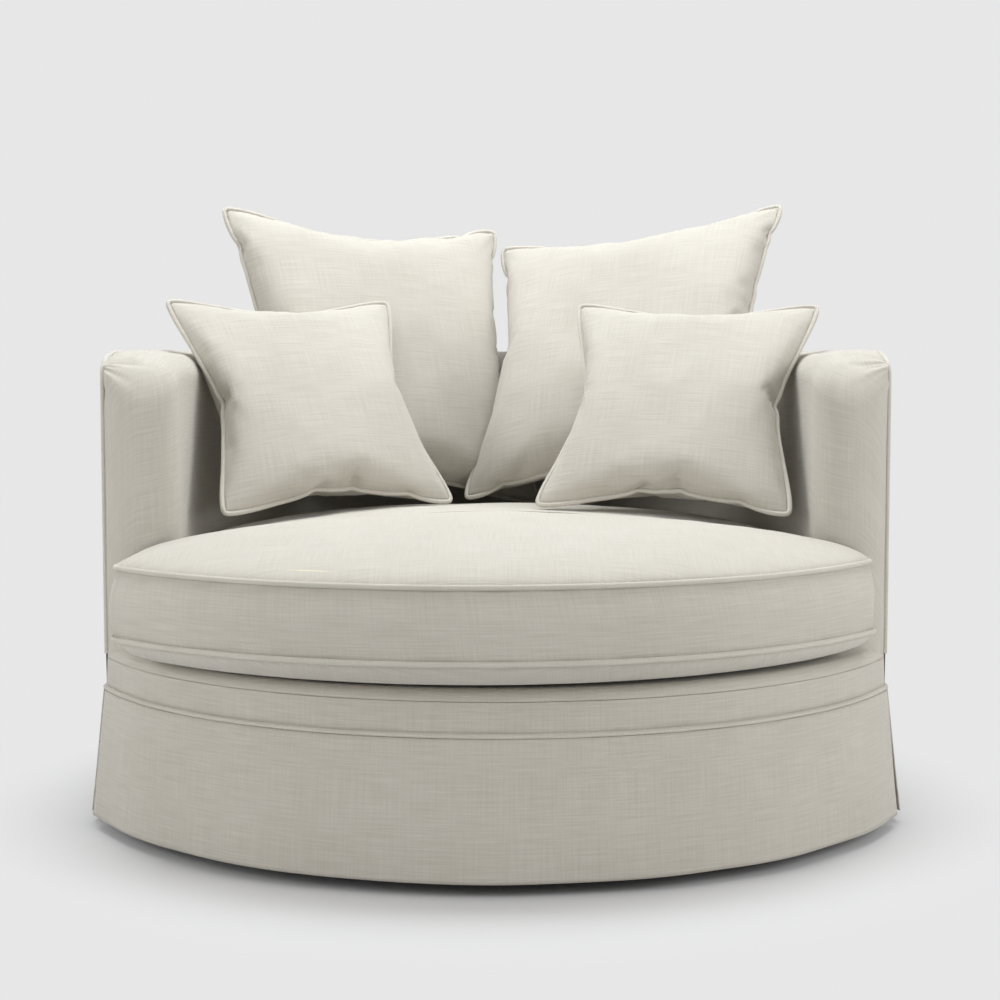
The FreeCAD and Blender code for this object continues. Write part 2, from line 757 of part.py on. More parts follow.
def deck_solid(inset, bottom):
    top = deck_top - inset
    radius = deck_roll_radius - inset
    rings = [deck_ring(inset, inset, bottom)]
    for step in range(roll_steps + 1):
        turn = math.pi / 2 * step / roll_steps
        rings.append(deck_ring(inset, inset + radius * (1 - math.cos(turn)),
                               top - radius * (1 - math.sin(turn))))
    return stacked(rings)


def deck():
    tub_room = tub_plan(-tub_room_gap, -tub_room_out).extrude(V(0, 0, tall))
    pieces = {}
    sheet = deck_solid(0.0, band_top + layer_gap).cut(deck_solid(cover_thickness, 0.0))
    pieces["deck_cover"] = [largest(sheet.cut(tub_room))]
    pad = deck_solid(cover_thickness + layer_gap, pad_bottom).cut(tub_room)
    pieces["deck_pad"] = [largest(pad)]
    felt = prism(base_outline(foam_in, front_board_in), felt_bottom, felt_bottom + felt_thickness)
    pieces["deck_felt"] = [largest(felt.cut(tub_room))]
    arm_room = tub_room.copy()
    arm_room.translate(V(0, 0, tub_bottom - layer_gap))
    band = front_wall(0.0, cover_thickness, 0.0, ring_bottom, band_top)
    pieces["front_band_cover"] = [largest(band.cut(arm_room))]
    foam = front_wall(band_foam_in, band_foam_in + band_foam_thickness, frame_in, ring_bottom,
                      pad_bottom - layer_gap)
    pieces["front_band_foam"] = [largest(foam.cut(arm_room))]
    pieces["front_board"] = [front_wall(front_board_in, front_board_in + board_thickness,
                                        frame_in, ring_bottom, seat_ring_top)]
    return pieces


def largest(shape):
    return max(shape.Solids, key=lambda solid: solid.Volume)


# Skirt

def skirt_section(inner, thickness, bottom, top, flare):
    """Section of a hanging panel in the XZ plane: upright at the top, out at the hem."""
    corners = [V(inner, 0, top), V(inner + thickness, 0, top),
               V(inner + thickness + flare, 0, bottom), V(inner + flare, 0, bottom)]
    return Part.Face(Part.makePolygon(corners + corners[:1]))


def skirt_round(radius, centre, start, end, thickness, flare):
    face = skirt_section(radius, thickness, hem_height, skirt_top, flare)
    panel = face.revolve(V(0, 0, 0), Z, end - start)
    panel.rotate(V(0, 0, 0), Z, start)
    panel.translate(centre)
    return panel


def skirt():
    pieces = {}
    corner = math.degrees(math.acos(half_width / front_radius))
    slit = math.degrees(pleat_slit / front_radius)
    front = front_radius - skirt_in
    pieces["skirt_front"] = [skirt_round(front, V(0, 0, 0), -180 + corner + slit,
                                         -corner - slit, skirt_thickness, hem_flare)]
    side = half_width - skirt_in
    front_y = corner_y(0, 0) + 2 * pleat_slit
    for name, sign in (("skirt_left", -1), ("skirt_right", 1)):
        face = skirt_section(side, skirt_thickness, hem_height, skirt_top, hem_flare)
        panel = face.extrude(V(0, back_centre_y - pleat_slit / 2 - front_y, 0))
        panel.translate(V(0, front_y, 0))
        pieces[name] = [panel if sign > 0 else panel.mirror(V(0, 0, 0), X)]
    back = V(0, back_centre_y, 0)
    turn = math.degrees(pleat_slit / 2 / half_width)
    pieces["skirt_back"] = [skirt_round(side, back, turn, 180 - turn, skirt_thickness, hem_flare)]
    inner = layer_gap
    face = skirt_section(front_radius + inner, pleat_thickness, hem_height, skirt_top - 1, hem_flare)
    wide = math.degrees(pleat_width / 2 / front_radius)
    backers = []
    for start in (-180 + corner, -corner - wide):
        backer = face.revolve(V(0, 0, 0), Z, wide)
        backer.rotate(V(0, 0, 0), Z, start)
        backers.append(backer)
    side_face = skirt_section(half_width + inner, pleat_thickness, hem_height, skirt_top - 1,
                              hem_flare)
    side_backer = side_face.extrude(V(0, pleat_width / 2, 0))
    front_end = corner_y(0, 0) + pleat_slit
    side_backer.translate(V(0, front_end, 0))
    backers += [side_backer, side_backer.mirror(V(0, 0, 0), X)]
    rear = side_face.extrude(V(0, pleat_width / 2, 0))
    rear.translate(V(0, back_centre_y - pleat_width / 2 - layer_gap, 0))
    backers += [rear, rear.mirror(V(0, 0, 0), X)]
    pieces["pleat_backers"] = backers
    out = half_width - skirt_out - welt_inset
    front_out = front_radius - skirt_out - welt_inset
    level = skirt_top + welt_radius + welt_clear
    corner_turn = math.degrees(math.acos(out / front_out))
    y = -front_out * math.sin(math.radians(corner_turn))
    path = [arc_about(V(0, 0, level), front_out, -180 + corner_turn, -90),
            arc_about(V(0, 0, level), front_out, -90, -corner_turn),
            line(V(out, y, level), V(out, back_centre_y, level)),
            arc_about(V(0, back_centre_y, level), out, 0, 90),
            arc_about(V(0, back_centre_y, level), out, 90, 180),
            line(V(-out, back_centre_y, level), V(-out, y, level))]
    pieces["skirt_welt"] = [cord(path, welt_radius, lambda place: Z, True)]
    return pieces


# Seat cushion

def seat_half(side, radius, inset, level):
    """One side of the seat outline, in order from the front arc to the back's middle."""
    centre = V(seat_centre_x, 0, level)
    front = radius - inset
    corner = seat_corner_radius - inset
    ear = seat_ear_radius - inset / 2
    notch = seat_notch_radius + inset
    ear_back = nose_front_y - seat_ear_clear - inset
    inner = side * (inner_half - seat_side_clear - inset)
    x = (seat_left_x if side < 0 else seat_right_x) - side * inset
    cx = x - side * corner
    middle = V(cx, -math.sqrt((front - corner) ** 2 - (cx - centre.x) ** 2), level)
    turn = math.degrees(math.atan2(middle.y, middle.x - centre.x))
    ear_middle = V(x - side * ear, ear_back - ear, level)
    notch_middle = V(inner + side * notch, ear_back + notch, level)
    flat = 0 if side > 0 else -180
    edges = [arc_about(middle, corner, turn, flat),
             line(V(x, middle.y, level), V(x, ear_middle.y, level)),
             arc_about(ear_middle, ear, flat, flat + side * 90),
             line(V(ear_middle.x, ear_back, level), V(notch_middle.x, ear_back, level)),
             arc_about(notch_middle, notch, -90, -90 - side * 90),
             line(V(inner, notch_middle.y, level), V(inner, back_centre_y, level)),
             arc_about(V(0, back_centre_y, level), abs(inner), flat, flat + side * 90)]
    return edges, turn


def seat_outline(radius, inset, level):
    """T shape with a round front, ears before the arms and a half-round back."""
    right, right_turn = seat_half(1, radius, inset, level)
    left, left_turn = seat_half(-1, radius, inset, level)
    front = arc_about(V(seat_centre_x, 0, level), radius - inset, left_turn, right_turn)
    back = [backwards(edge) for edge in reversed(left)]
    return [front] + right + back


def backwards(edge):
    """The same line or arc, drawn from its end to its start."""
    start, end = edge.valueAt(edge.FirstParameter), edge.valueAt(edge.LastParameter)
    middle = edge.valueAt((edge.FirstParameter + edge.LastParameter) / 2)
    return arc(end, middle, start) if isinstance(edge.Curve, Part.Circle) else line(end, start)


def seat_steps():
    """Straight steps for each line and curve of the outline."""
    counts = []
    for edge in seat_outline(seat_top_radius, 0.0, 0.0):
        turn = math.degrees(edge.LastParameter - edge.FirstParameter)
        curved = isinstance(edge.Curve, Part.Circle)
        counts.append(max(math.ceil(turn / seat_turn), math.ceil(edge.Length / seat_chord))
                      if curved else 1)
    return counts


def seat_points(radius, inset, level):
    """The outline as points: short straight steps along its curves."""
    points = []
    for edge, steps in zip(seat_outline(radius, inset, level), seat_steps()):
        span = edge.LastParameter - edge.FirstParameter
        points += [edge.valueAt(edge.FirstParameter + span * step / steps) for step in range(steps)]
    return points


def shrunk(points, share, level):
    """The same outline drawn smaller about the middle of the crown."""
    return [V(p.x * share, seat_dome_y + (p.y - seat_dome_y) * share, level) for p in points]


def dome_levels(count, full):
    """Shares of the outline and of the rise, for a form that rises like a dome."""
    steps = [full * (step + 1) / count for step in range(count)]
    return [(math.cos(math.radians(turn)), math.sin(math.radians(turn))) for turn in steps]


def stacked(rings):
    """A solid from level rings of points, each joined to the next by flat faces."""
    faces = [Part.Face(Part.makePolygon(ring + ring[:1])) for ring in (rings[0], rings[-1])]
    for lower, upper in zip(rings, rings[1:]):
        faces += flat_strip(lower, upper)
    return closed_solid(faces)


def seat_body(inset):
    low, high = seat_boxing_bottom, seat_boxing_top
    bottom = seat_points(seat_bottom_radius, inset, low)
    top = seat_points(seat_top_radius, inset, high)
    rise = seat_crown - inset
    fall = low - deck_top - seat_rest_clear - inset
    upper = [shrunk(top, share, high + rise * part)
             for share, part in dome_levels(seat_crown_steps, seat_crown_full)]
    lower = [shrunk(bottom, 1 - (1 - share) * seat_belly_share, low - fall * part)
             for share, part in dome_levels(seat_belly_steps, 90)]
    return stacked(lower[::-1] + [bottom, top] + upper)


def seat_cushion():
    pieces = {}
    lining = seat_body(cover_thickness)
    pieces["seat_cushion_cover"] = [seat_body(0.0).cut(lining)]
    pieces["seat_cushion_core"] = [largest(seat_body(cover_thickness + pad_gap).common(lining))]
    out = -(welt_radius + welt_clear)
    for name, radius, level in (("seat_top_welt", seat_top_radius, seat_boxing_top),
                                ("seat_bottom_welt", seat_bottom_radius, seat_boxing_bottom)):
        points = seat_points(radius, out, level)
        edges = [line(a, b) for a, b in zip(points, points[1:] + points[:1])]
        pieces[name] = [cord(edges, welt_radius, lambda place: Z, True)]
    return pieces


def zip_band(inner, thickness, height, half_angle):
    middle = (seat_boxing_bottom + seat_boxing_top) / 2
    section = Part.Face(Part.makePolygon([V(inner, 0, middle - height / 2),
                                          V(inner + thickness, 0, middle - height / 2),
                                          V(inner + thickness, 0, middle + height / 2),
                                          V(inner, 0, middle + height / 2),
                                          V(inner, 0, middle - height / 2)]))
    band = section.revolve(V(0, 0, 0), Z, 2 * half_angle)
    band.rotate(V(0, 0, 0), Z, 90 - half_angle)
    band.translate(V(0, back_centre_y, 0))
    return band


def seat_zip():
    face = inner_half - seat_side_clear
    tape = zip_band(face + layer_gap, zip_tape_thickness, zip_tape_height, zip_half_angle)
    teeth = zip_band(face + layer_gap + zip_tape_thickness, zip_teeth_thickness, zip_teeth_height,
                     zip_half_angle - 1)
    outer = face + layer_gap + zip_tape_thickness + zip_teeth_thickness + layer_gap
    half_turn = math.degrees(slider_length / 2 / outer)
    slider = zip_band(outer, slider_thickness, slider_height, half_turn)
    pull = block(-pull_width / 2, pull_width / 2, outer + slider_thickness - pull_thickness,
                 outer + slider_thickness, -slider_height / 2 - pull_length, 0)
    pull.translate(V(0, back_centre_y, (seat_boxing_bottom + seat_boxing_top) / 2))
    slider = slider.fuse(pull).removeSplitter()
    slider.rotate(V(0, back_centre_y, 0), Z, zip_half_angle - 3)
    return {"seat_zip": [tape.fuse(teeth).removeSplitter()], "seat_zip_slider": [slider]}


# Pillows

def pillow_side(u, v, width, height):
    """A point of the flat pillow: sides pull in between the corners."""
    side_pull, top_pull = pillow_pull[width > pillow_large]
    return (width / 2 * u * (1 - side_pull * (1 - v * v)),
            height / 2 * v * (1 - top_pull * (1 - u * u)))


def pillow_point(u, v, width, height, bulge):
    x, z = pillow_side(u, v, width, height)
    fullness = (max(0.0, 1 - u * u) * max(0.0, 1 - v * v)) ** pillow_fullness
    return V(x, -bulge * fullness, z)


def pillow_face(width, height, bulge):
    steps = [math.sin(math.pi / 2 * (2 * k / pillow_steps - 1)) for k in range(pillow_steps + 1)]
    surface = Part.BSplineSurface()
    surface.interpolate([[pillow_point(u, v, width, height, bulge) for v in steps] for u in steps])
    return surface.toShape()


def pillow_solid(width, height, bulge):
    return closed_solid([pillow_face(width, height, side * bulge) for side in (1, -1)])


def pillow_core(width, height, bulge):
    """The filling, in flat facets, inside the curved cover."""
    steps = [2 * k / pillow_core_steps - 1 for k in range(pillow_core_steps + 1)]
    faces = []
    for side in (1, -1):
        grid = [[pillow_point(u, v, width, height, side * bulge) for v in steps] for u in steps]
        for i in range(pillow_core_steps):
            for j in range(pillow_core_steps):
                a, b = grid[i][j], grid[i + 1][j]
                c, d = grid[i + 1][j + 1], grid[i][j + 1]
                halves = ((a, b, c), (a, c, d)) if (i < 2) == (j < 2) else ((a, b, d), (b, c, d))
                for half in halves:
                    faces.append(Part.Face(Part.makePolygon(list(half) + [half[0]])))
    return closed_solid(faces)


def pillow_welt(width, height):
    out = welt_radius + pad_gap
    w, h = width + 2 * out, height + 2 * out
    side_pull, top_pull = pillow_pull[width > pillow_large]
    corners = [V(-w / 2, 0, -h / 2), V(w / 2, 0, -h / 2), V(w / 2, 0, h / 2), V(-w / 2, 0, h / 2)]
    across = width / 2 * (1 - side_pull) + out
    up = height / 2 * (1 - top_pull) + out
    middles = [V(0, 0, -up), V(across, 0, 0), V(0, 0, up), V(-across, 0, 0)]
    edges = [arc(corners[k], middles[k], corners[(k + 1) % 4]) for k in range(4)]
    return cord(edges, welt_radius, lambda place: Y, True)


def pillow_pieces(name, width, height, bulge, centre, turns):
    turn, lean, roll = turns
    pose = Placement(V(*centre), Rotation(Z, turn) * Rotation(X, lean) * Rotation(Y, roll))
    outer = pillow_solid(width, height, bulge)
    edge = 2 * pillow_fill_edge
    lining = pillow_core(width - edge, height - edge, bulge - cover_thickness)
    inner_edge = edge + 2 * pillow_fill_gap
    fill = pillow_core(width - inner_edge, height - inner_edge,
                       bulge - cover_thickness - pillow_fill_gap)
    pieces = {name + "_cover": outer.cut(lining), name + "_fill": fill,
              name + "_welt": pillow_welt(width, height)}
    for piece in pieces.values():
        piece.Placement = pose.multiply(piece.Placement)
    return {node: [piece] for node, piece in pieces.items()}


# Assembly

def all_pieces():
    pieces = {}
    for group in (base_frame(), seat_webbing(), tub_frame(), tub_covers(), tub_welt(), deck(),
                  skirt(), seat_cushion(), seat_zip()):
        pieces.update(group)
    for name, sizes in pillows.items():
        pieces.update(pillow_pieces(name, *sizes))
    return pieces


os.makedirs("parts", exist_ok=True)
for node, solids in all_pieces().items():
    shape = solids[0] if len(solids) == 1 else Part.makeCompound(solids)
    shape.translate(plan_shift)
    shape.exportStep("parts/" + node + ".step")
    print(node, len(shape.Solids), "solids, valid" if shape.isValid() else "solids, NOT VALID",
          round(shape.Volume / 1000), "cm3")
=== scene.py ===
import math

import bpy
import numpy as np
from mathutils import Matrix, Vector, noise


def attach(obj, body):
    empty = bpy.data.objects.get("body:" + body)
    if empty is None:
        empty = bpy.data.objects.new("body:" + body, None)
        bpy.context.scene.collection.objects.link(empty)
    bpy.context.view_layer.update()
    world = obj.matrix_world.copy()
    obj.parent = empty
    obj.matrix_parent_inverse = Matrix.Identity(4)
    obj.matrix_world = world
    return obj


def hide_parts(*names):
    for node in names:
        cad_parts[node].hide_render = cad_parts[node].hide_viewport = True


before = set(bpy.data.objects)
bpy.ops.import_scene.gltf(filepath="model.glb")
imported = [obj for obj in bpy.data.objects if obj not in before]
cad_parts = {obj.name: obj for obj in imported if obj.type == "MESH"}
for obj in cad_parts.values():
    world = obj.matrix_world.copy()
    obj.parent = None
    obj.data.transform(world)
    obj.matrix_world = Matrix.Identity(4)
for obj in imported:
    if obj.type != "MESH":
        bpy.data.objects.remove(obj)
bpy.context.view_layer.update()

# Cuddle chair in oat linen: half-round tub, round front, kick-pleat skirt,
# T-shaped seat cushion and four loose pillows. Metres, the front faces -Y.

planShift = 0.12655

# Plan and levels of the upholstery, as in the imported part, shared by all pieces
halfWidth = 0.650
innerHalf = 0.530
frontRadius = 0.721
backCentre = -0.147
noseFront = -0.352
noseEdge = -0.310
noseInset = 0.062
noseInner = 0.058
nosePivot = -0.268
tubTop = 0.790
armDrop = 0.048
armFall = 0.140
deckTop = 0.300
bandTop = 0.282
skirtTop = 0.229
ringBottom = 0.125
hemLevel = 0.020


welt = {"radius": 0.0042, "sides": 10, "step": 0.006, "pillowStep": 0.007, "pillowOut": 0.0022,
        "seatOut": 0.0030, "tubOut": 0.001, "skirtOut": 0.00435, "skirtUp": 0.0037}


# Mesh helpers

def smoothStep(low, high, value):
    t = np.clip((np.asarray(value, float) - low) / (high - low), 0.0, 1.0)
    return t * t * (3 - 2 * t)


# Smooth noise from -1 to 1 at each point
def noiseField(points, scale, seed=0.0):
    shift = Vector((seed * 7.31, seed * 3.17, seed * 5.77))
    return np.array([noise.noise(Vector(p) * scale + shift) for p in points])


def makeMesh(name, verts, faces, uv=None):
    mesh = bpy.data.meshes.new(name)
    mesh.from_pydata([tuple(map(float, v)) for v in verts], [], [tuple(map(int, f)) for f in faces])
    if uv is not None:
        layer = mesh.uv_layers.new(name="UVMap")
        loops = np.zeros(len(mesh.loops), np.int32)
        mesh.loops.foreach_get("vertex_index", loops)
        layer.data.foreach_set("uv", np.asarray(uv, np.float32)[loops].ravel())
    mesh.polygons.foreach_set("use_smooth", [True] * len(mesh.polygons))
    obj = bpy.data.objects.new(name, mesh)
    bpy.context.scene.collection.objects.link(obj)
    return obj


def gridFaces(rows, columns, closedRows=False, closedColumns=False):
    faces = []
    for i in range(rows if closedRows else rows - 1):
        for j in range(columns if closedColumns else columns - 1):
            a, b = i * columns + j, ((i + 1) % rows) * columns + j
            c, d = ((i + 1) % rows) * columns + (j + 1) % columns, i * columns + (j + 1) % columns
            faces.append((a, b, c, d))
    return faces


def gridMesh(name, points, uv, flip=False):
    rows, columns = points.shape[:2]
    faces = gridFaces(rows, columns)
    if flip:
        faces = [face[::-1] for face in faces]
    return makeMesh(name, points.reshape(-1, 3), faces, uv.reshape(-1, 2))


# A round cord along a path of points, with UV in metres along and around it
def tube(name, path, radius, sides, closed=False):
    path = np.asarray(path, float)
    count = len(path)
    ahead = np.roll(path, -1, 0) - np.roll(path, 1, 0)
    if not closed:
        ahead[0], ahead[-1] = path[1] - path[0], path[-1] - path[-2]
    ahead /= np.linalg.norm(ahead, axis=1)[:, None]
    side = np.cross(ahead[0], (0.31, 0.22, 0.92))
    side /= np.linalg.norm(side)
    across = []
    for k in range(count):
        side = side - ahead[k] * side.dot(ahead[k])
        side /= np.linalg.norm(side)
        across.append(side.copy())
    sideways = np.array(across)
    other = np.cross(ahead, sideways)
    turns = np.linspace(0, 2 * math.pi, sides, endpoint=False)
    rings = [path + radius * (math.cos(t) * sideways + math.sin(t) * other) for t in turns]
    points = np.stack(rings, 1)
    along = np.r_[0, np.cumsum(np.linalg.norm(np.diff(path, axis=0), axis=1))]
    uv = np.stack(np.meshgrid(along, turns * radius, indexing="ij"), -1)
    faces = gridFaces(count, sides, closed, True)
    verts = points.reshape(-1, 3)
    if not closed:
        faces += [tuple(range(sides))[::-1], tuple(range((count - 1) * sides, count * sides))]
    return makeMesh(name, verts, faces, uv.reshape(-1, 2))


def resample(path, step, closed=False):
    path = np.asarray(path, float)
    if closed:
        path = np.vstack([path, path[:1]])
    length = np.r_[0, np.cumsum(np.linalg.norm(np.diff(path, axis=0), axis=1))]
    count = max(4, int(length[-1] / step))
    at = np.linspace(0, length[-1], count, endpoint=not closed)
    return np.stack([np.interp(at, length, path[:, k]) for k in range(3)], 1)


def smoothed(path, rounds, closed=False):
    path = np.asarray(path, float).copy()
    for _ in range(rounds):
        middle = (np.roll(path, 1, 0) + np.roll(path, -1, 0)) / 2
        new = 0.5 * path + 0.5 * middle
        if not closed:
            new[0], new[-1] = path[0], path[-1]
        path = new
    return path


def thicken(obj, thickness):
    solid = obj.modifiers.new("thick", "SOLIDIFY")
    solid.thickness = thickness
    solid.offset = -1.0
    solid.use_even_offset = False
    applyModifiers(obj)


def applyModifiers(obj):
    graph = bpy.context.evaluated_depsgraph_get()
    mesh = bpy.data.meshes.new_from_object(obj.evaluated_get(graph))
    obj.modifiers.clear()
    obj.data = mesh


# Materials

linen = {"light": (0.60, 0.572, 0.512), "dark": (0.475, 0.447, 0.385), "thread": 0.0021}


# Linen weave from UV in metres: colour mask, height and slub mask
def weaveGroup():
    group = bpy.data.node_groups.new("linenWeave", "ShaderNodeTree")
    thread = group.interface.new_socket("Thread", in_out="INPUT", socket_type="NodeSocketFloat")
    thread.default_value = linen["thread"]
    seed = group.interface.new_socket("Seed", in_out="INPUT", socket_type="NodeSocketFloat")
    seed.default_value = 0.0
    group.interface.new_socket("Height", in_out="OUTPUT", socket_type="NodeSocketFloat")
    group.interface.new_socket("Shade", in_out="OUTPUT", socket_type="NodeSocketFloat")
    nodes, links = group.nodes, group.links
    enter, leave = nodes.new("NodeGroupInput"), nodes.new("NodeGroupOutput")
    uv = nodes.new("ShaderNodeTexCoord")
    perThread = nodes.new("ShaderNodeVectorMath")
    perThread.operation = "SCALE"
    invert = nodes.new("ShaderNodeMath")
    invert.operation = "DIVIDE"
    invert.inputs[0].default_value = 1.0
    links.new(enter.outputs["Thread"], invert.inputs[1])
    links.new(uv.outputs["UV"], perThread.inputs[0])
    links.new(invert.outputs[0], perThread.inputs["Scale"])
    split = nodes.new("ShaderNodeSeparateXYZ")
    links.new(perThread.outputs[0], split.inputs[0])

    def math2(operation, a, b=None, value=None):
        node = nodes.new("ShaderNodeMath")
        node.operation = operation
        links.new(a, node.inputs[0])
        if b is not None:
            links.new(b, node.inputs[1])
        elif value is not None:
            node.inputs[1].default_value = value
        return node.outputs[0]

    def streaks(scaleX, scaleY, detail, name):
        stretch = nodes.new("ShaderNodeMapping")
        stretch.inputs["Scale"].default_value = (scaleX, scaleY, 1.0)
        links.new(perThread.outputs[0], stretch.inputs["Vector"])
        combine = nodes.new("ShaderNodeCombineXYZ")
        links.new(enter.outputs["Seed"], combine.inputs[2])
        add = nodes.new("ShaderNodeVectorMath")
        add.operation = "ADD"
        links.new(stretch.outputs[0], add.inputs[0])
        links.new(combine.outputs[0], add.inputs[1])
        texture = nodes.new("ShaderNodeTexNoise")
        texture.name = name
        texture.inputs["Scale"].default_value = 1.0
        texture.inputs["Detail"].default_value = detail
        links.new(add.outputs[0], texture.inputs["Vector"])
        return texture.outputs[0]

    weftSlub = streaks(0.028, 0.9, 3.0, "weft slubs")
    warpSlub = streaks(0.9, 0.022, 3.0, "warp slubs")
    cloud = streaks(0.011, 0.011, 2.0, "cloud")
    pi = math.pi
    u = math2("ADD", split.outputs[0], math2("MULTIPLY", weftSlub, value=1.6))
    v = math2("ADD", split.outputs[1], math2("MULTIPLY", warpSlub, value=1.6))
    su = math2("SINE", math2("MULTIPLY", u, value=pi))
    sv = math2("SINE", math2("MULTIPLY", v, value=pi))
    cross = math2("MULTIPLY", su, sv)
    warp = math2("MULTIPLY", math2("ABSOLUTE", su), value=0.5)
    weft = math2("MULTIPLY", math2("ABSOLUTE", sv), value=0.5)
    bump = math2("ADD", math2("MULTIPLY", cross, value=0.25), math2("ADD", warp, weft))
    height = math2("ADD", bump, math2("MULTIPLY", weftSlub, value=1.2))
    links.new(height, leave.inputs["Height"])
    slubs = math2("ADD", math2("MULTIPLY", weftSlub, value=0.62), math2("MULTIPLY", warpSlub, value=0.38))
    spread = math2("SUBTRACT", slubs, value=0.5)
    shade = math2("ADD", math2("MULTIPLY", spread, value=2.4), math2("MULTIPLY", cloud, value=0.45))
    shade = math2("ADD", shade, math2("MULTIPLY", bump, value=0.22))
    links.new(math2("ADD", shade, value=0.12), leave.inputs["Shade"])
    return group


def linenMaterial(name, group, lift=1.0, seed=0.0):
    material = bpy.data.materials.new(name)
    material.use_nodes = True
    nodes, links = material.node_tree.nodes, material.node_tree.links
    shader = nodes["Principled BSDF"]
    weave = nodes.new("ShaderNodeGroup")
    weave.node_tree = group
    weave.inputs["Thread"].default_value = linen["thread"]
    weave.inputs["Seed"].default_value = seed
    mix = nodes.new("ShaderNodeMix")
    mix.data_type = "RGBA"
    dark = tuple(min(1.0, c * lift) for c in linen["dark"])
    light = tuple(min(1.0, c * lift) for c in linen["light"])
    mix.inputs[6].default_value = (*dark, 1.0)
    mix.inputs[7].default_value = (*light, 1.0)
    links.new(weave.outputs["Shade"], mix.inputs[0])
    links.new(mix.outputs[2], shader.inputs["Base Color"])
    bump = nodes.new("ShaderNodeBump")
    bump.inputs["Strength"].default_value = 0.35
    bump.inputs["Distance"].default_value = 0.0006
    links.new(weave.outputs["Height"], bump.inputs["Height"])
    links.new(bump.outputs[0], shader.inputs["Normal"])
    shader.inputs["Roughness"].default_value = 0.92
    shader.inputs["Specular IOR Level"].default_value = 0.2
    shader.inputs["Sheen Weight"].default_value = 0.25
    shader.inputs["Sheen Roughness"].default_value = 0.5
    return material


def plainMaterial(name, color, rough=0.6, metal=0.0):
    material = bpy.data.materials.new(name)
    material.use_nodes = True
    shader = material.node_tree.nodes["Principled BSDF"]
    shader.inputs["Base Color"].default_value = (*color, 1.0)
    shader.inputs["Roughness"].default_value = rough
    shader.inputs["Metallic"].default_value = metal
    return material


def setMaterial(obj, material):
    obj.data.materials.clear()
    obj.data.materials.append(material)


# Tub: smooth sweep of a padded section from one arm front to the other

roundSteps = {"nose": 26, "arm": 34, "back": 150}


def fallLevel(y, length=armFall, drop=armDrop):
    radius = (length ** 2 + drop ** 2) / (2 * drop)
    return radius - np.sqrt(np.maximum(0.0, radius ** 2 - np.asarray(y, float) ** 2))


def tubLevel(y):
    before = np.clip(noseFront + armFall - np.asarray(y, float), 0.0, armFall)
    return tubTop - fallLevel(before)


# Outer point, inner point, way into the body and roll share, right side to left side
def tubStations():
    middleX = halfWidth - noseInset
    centreY = (noseInset ** 2 + noseEdge ** 2 - noseFront ** 2) / (2 * (noseEdge - noseFront))
    radius = centreY - noseFront
    first = math.asin(noseInset / radius)
    right = []
    steps = roundSteps["nose"]
    for k in range(steps):
        share = k / steps
        turn = -math.pi / 2 + first * (1 - share)
        spot = (middleX + radius * math.cos(turn), centreY + radius * math.sin(turn))
        back = (-math.cos(turn), -math.sin(turn))
        outerY = noseEdge + (nosePivot - noseEdge) * share
        right.append(((halfWidth, outerY), spot, back, math.sin(math.pi / 2 * share)))
    innerY = noseFront + noseInner
    for k in range(steps + 1):
        turn = -math.pi / 2 - math.pi / 2 * k / steps
        spot = (middleX + noseInner * math.cos(turn), innerY + noseInner * math.sin(turn))
        right.append(((halfWidth, nosePivot), spot, (-math.cos(turn), -math.sin(turn)), 1.0))
    for k in range(1, roundSteps["arm"] + 1):
        share = k / roundSteps["arm"]
        y = innerY + (backCentre - innerY) * share
        outerY = nosePivot + (backCentre - nosePivot) * share
        right.append(((halfWidth, outerY), (innerHalf, y), (1.0, 0.0), 1.0))
    left = [((-a[0], a[1]), (-b[0], b[1]), (-n[0], n[1]), r) for a, b, n, r in reversed(right)]
    middle = []
    for k in range(1, roundSteps["back"]):
        turn = math.pi * k / roundSteps["back"]
        way = (math.cos(turn), math.sin(turn))
        middle.append(((halfWidth * way[0], backCentre + halfWidth * way[1]),
                       (innerHalf * way[0], backCentre + innerHalf * way[1]), way, 1.0))
    return right + middle + left


tubCloth = {"roll": 0.045, "rollSteps": 14, "topSteps": 12, "faceSteps": 44, "tuck": 0.02, "puff": 0.006,
            "belly": 0.001, "wide": 0.0014, "fine": 0.0009, "gather": 0.0026, "gatherY": -0.300}


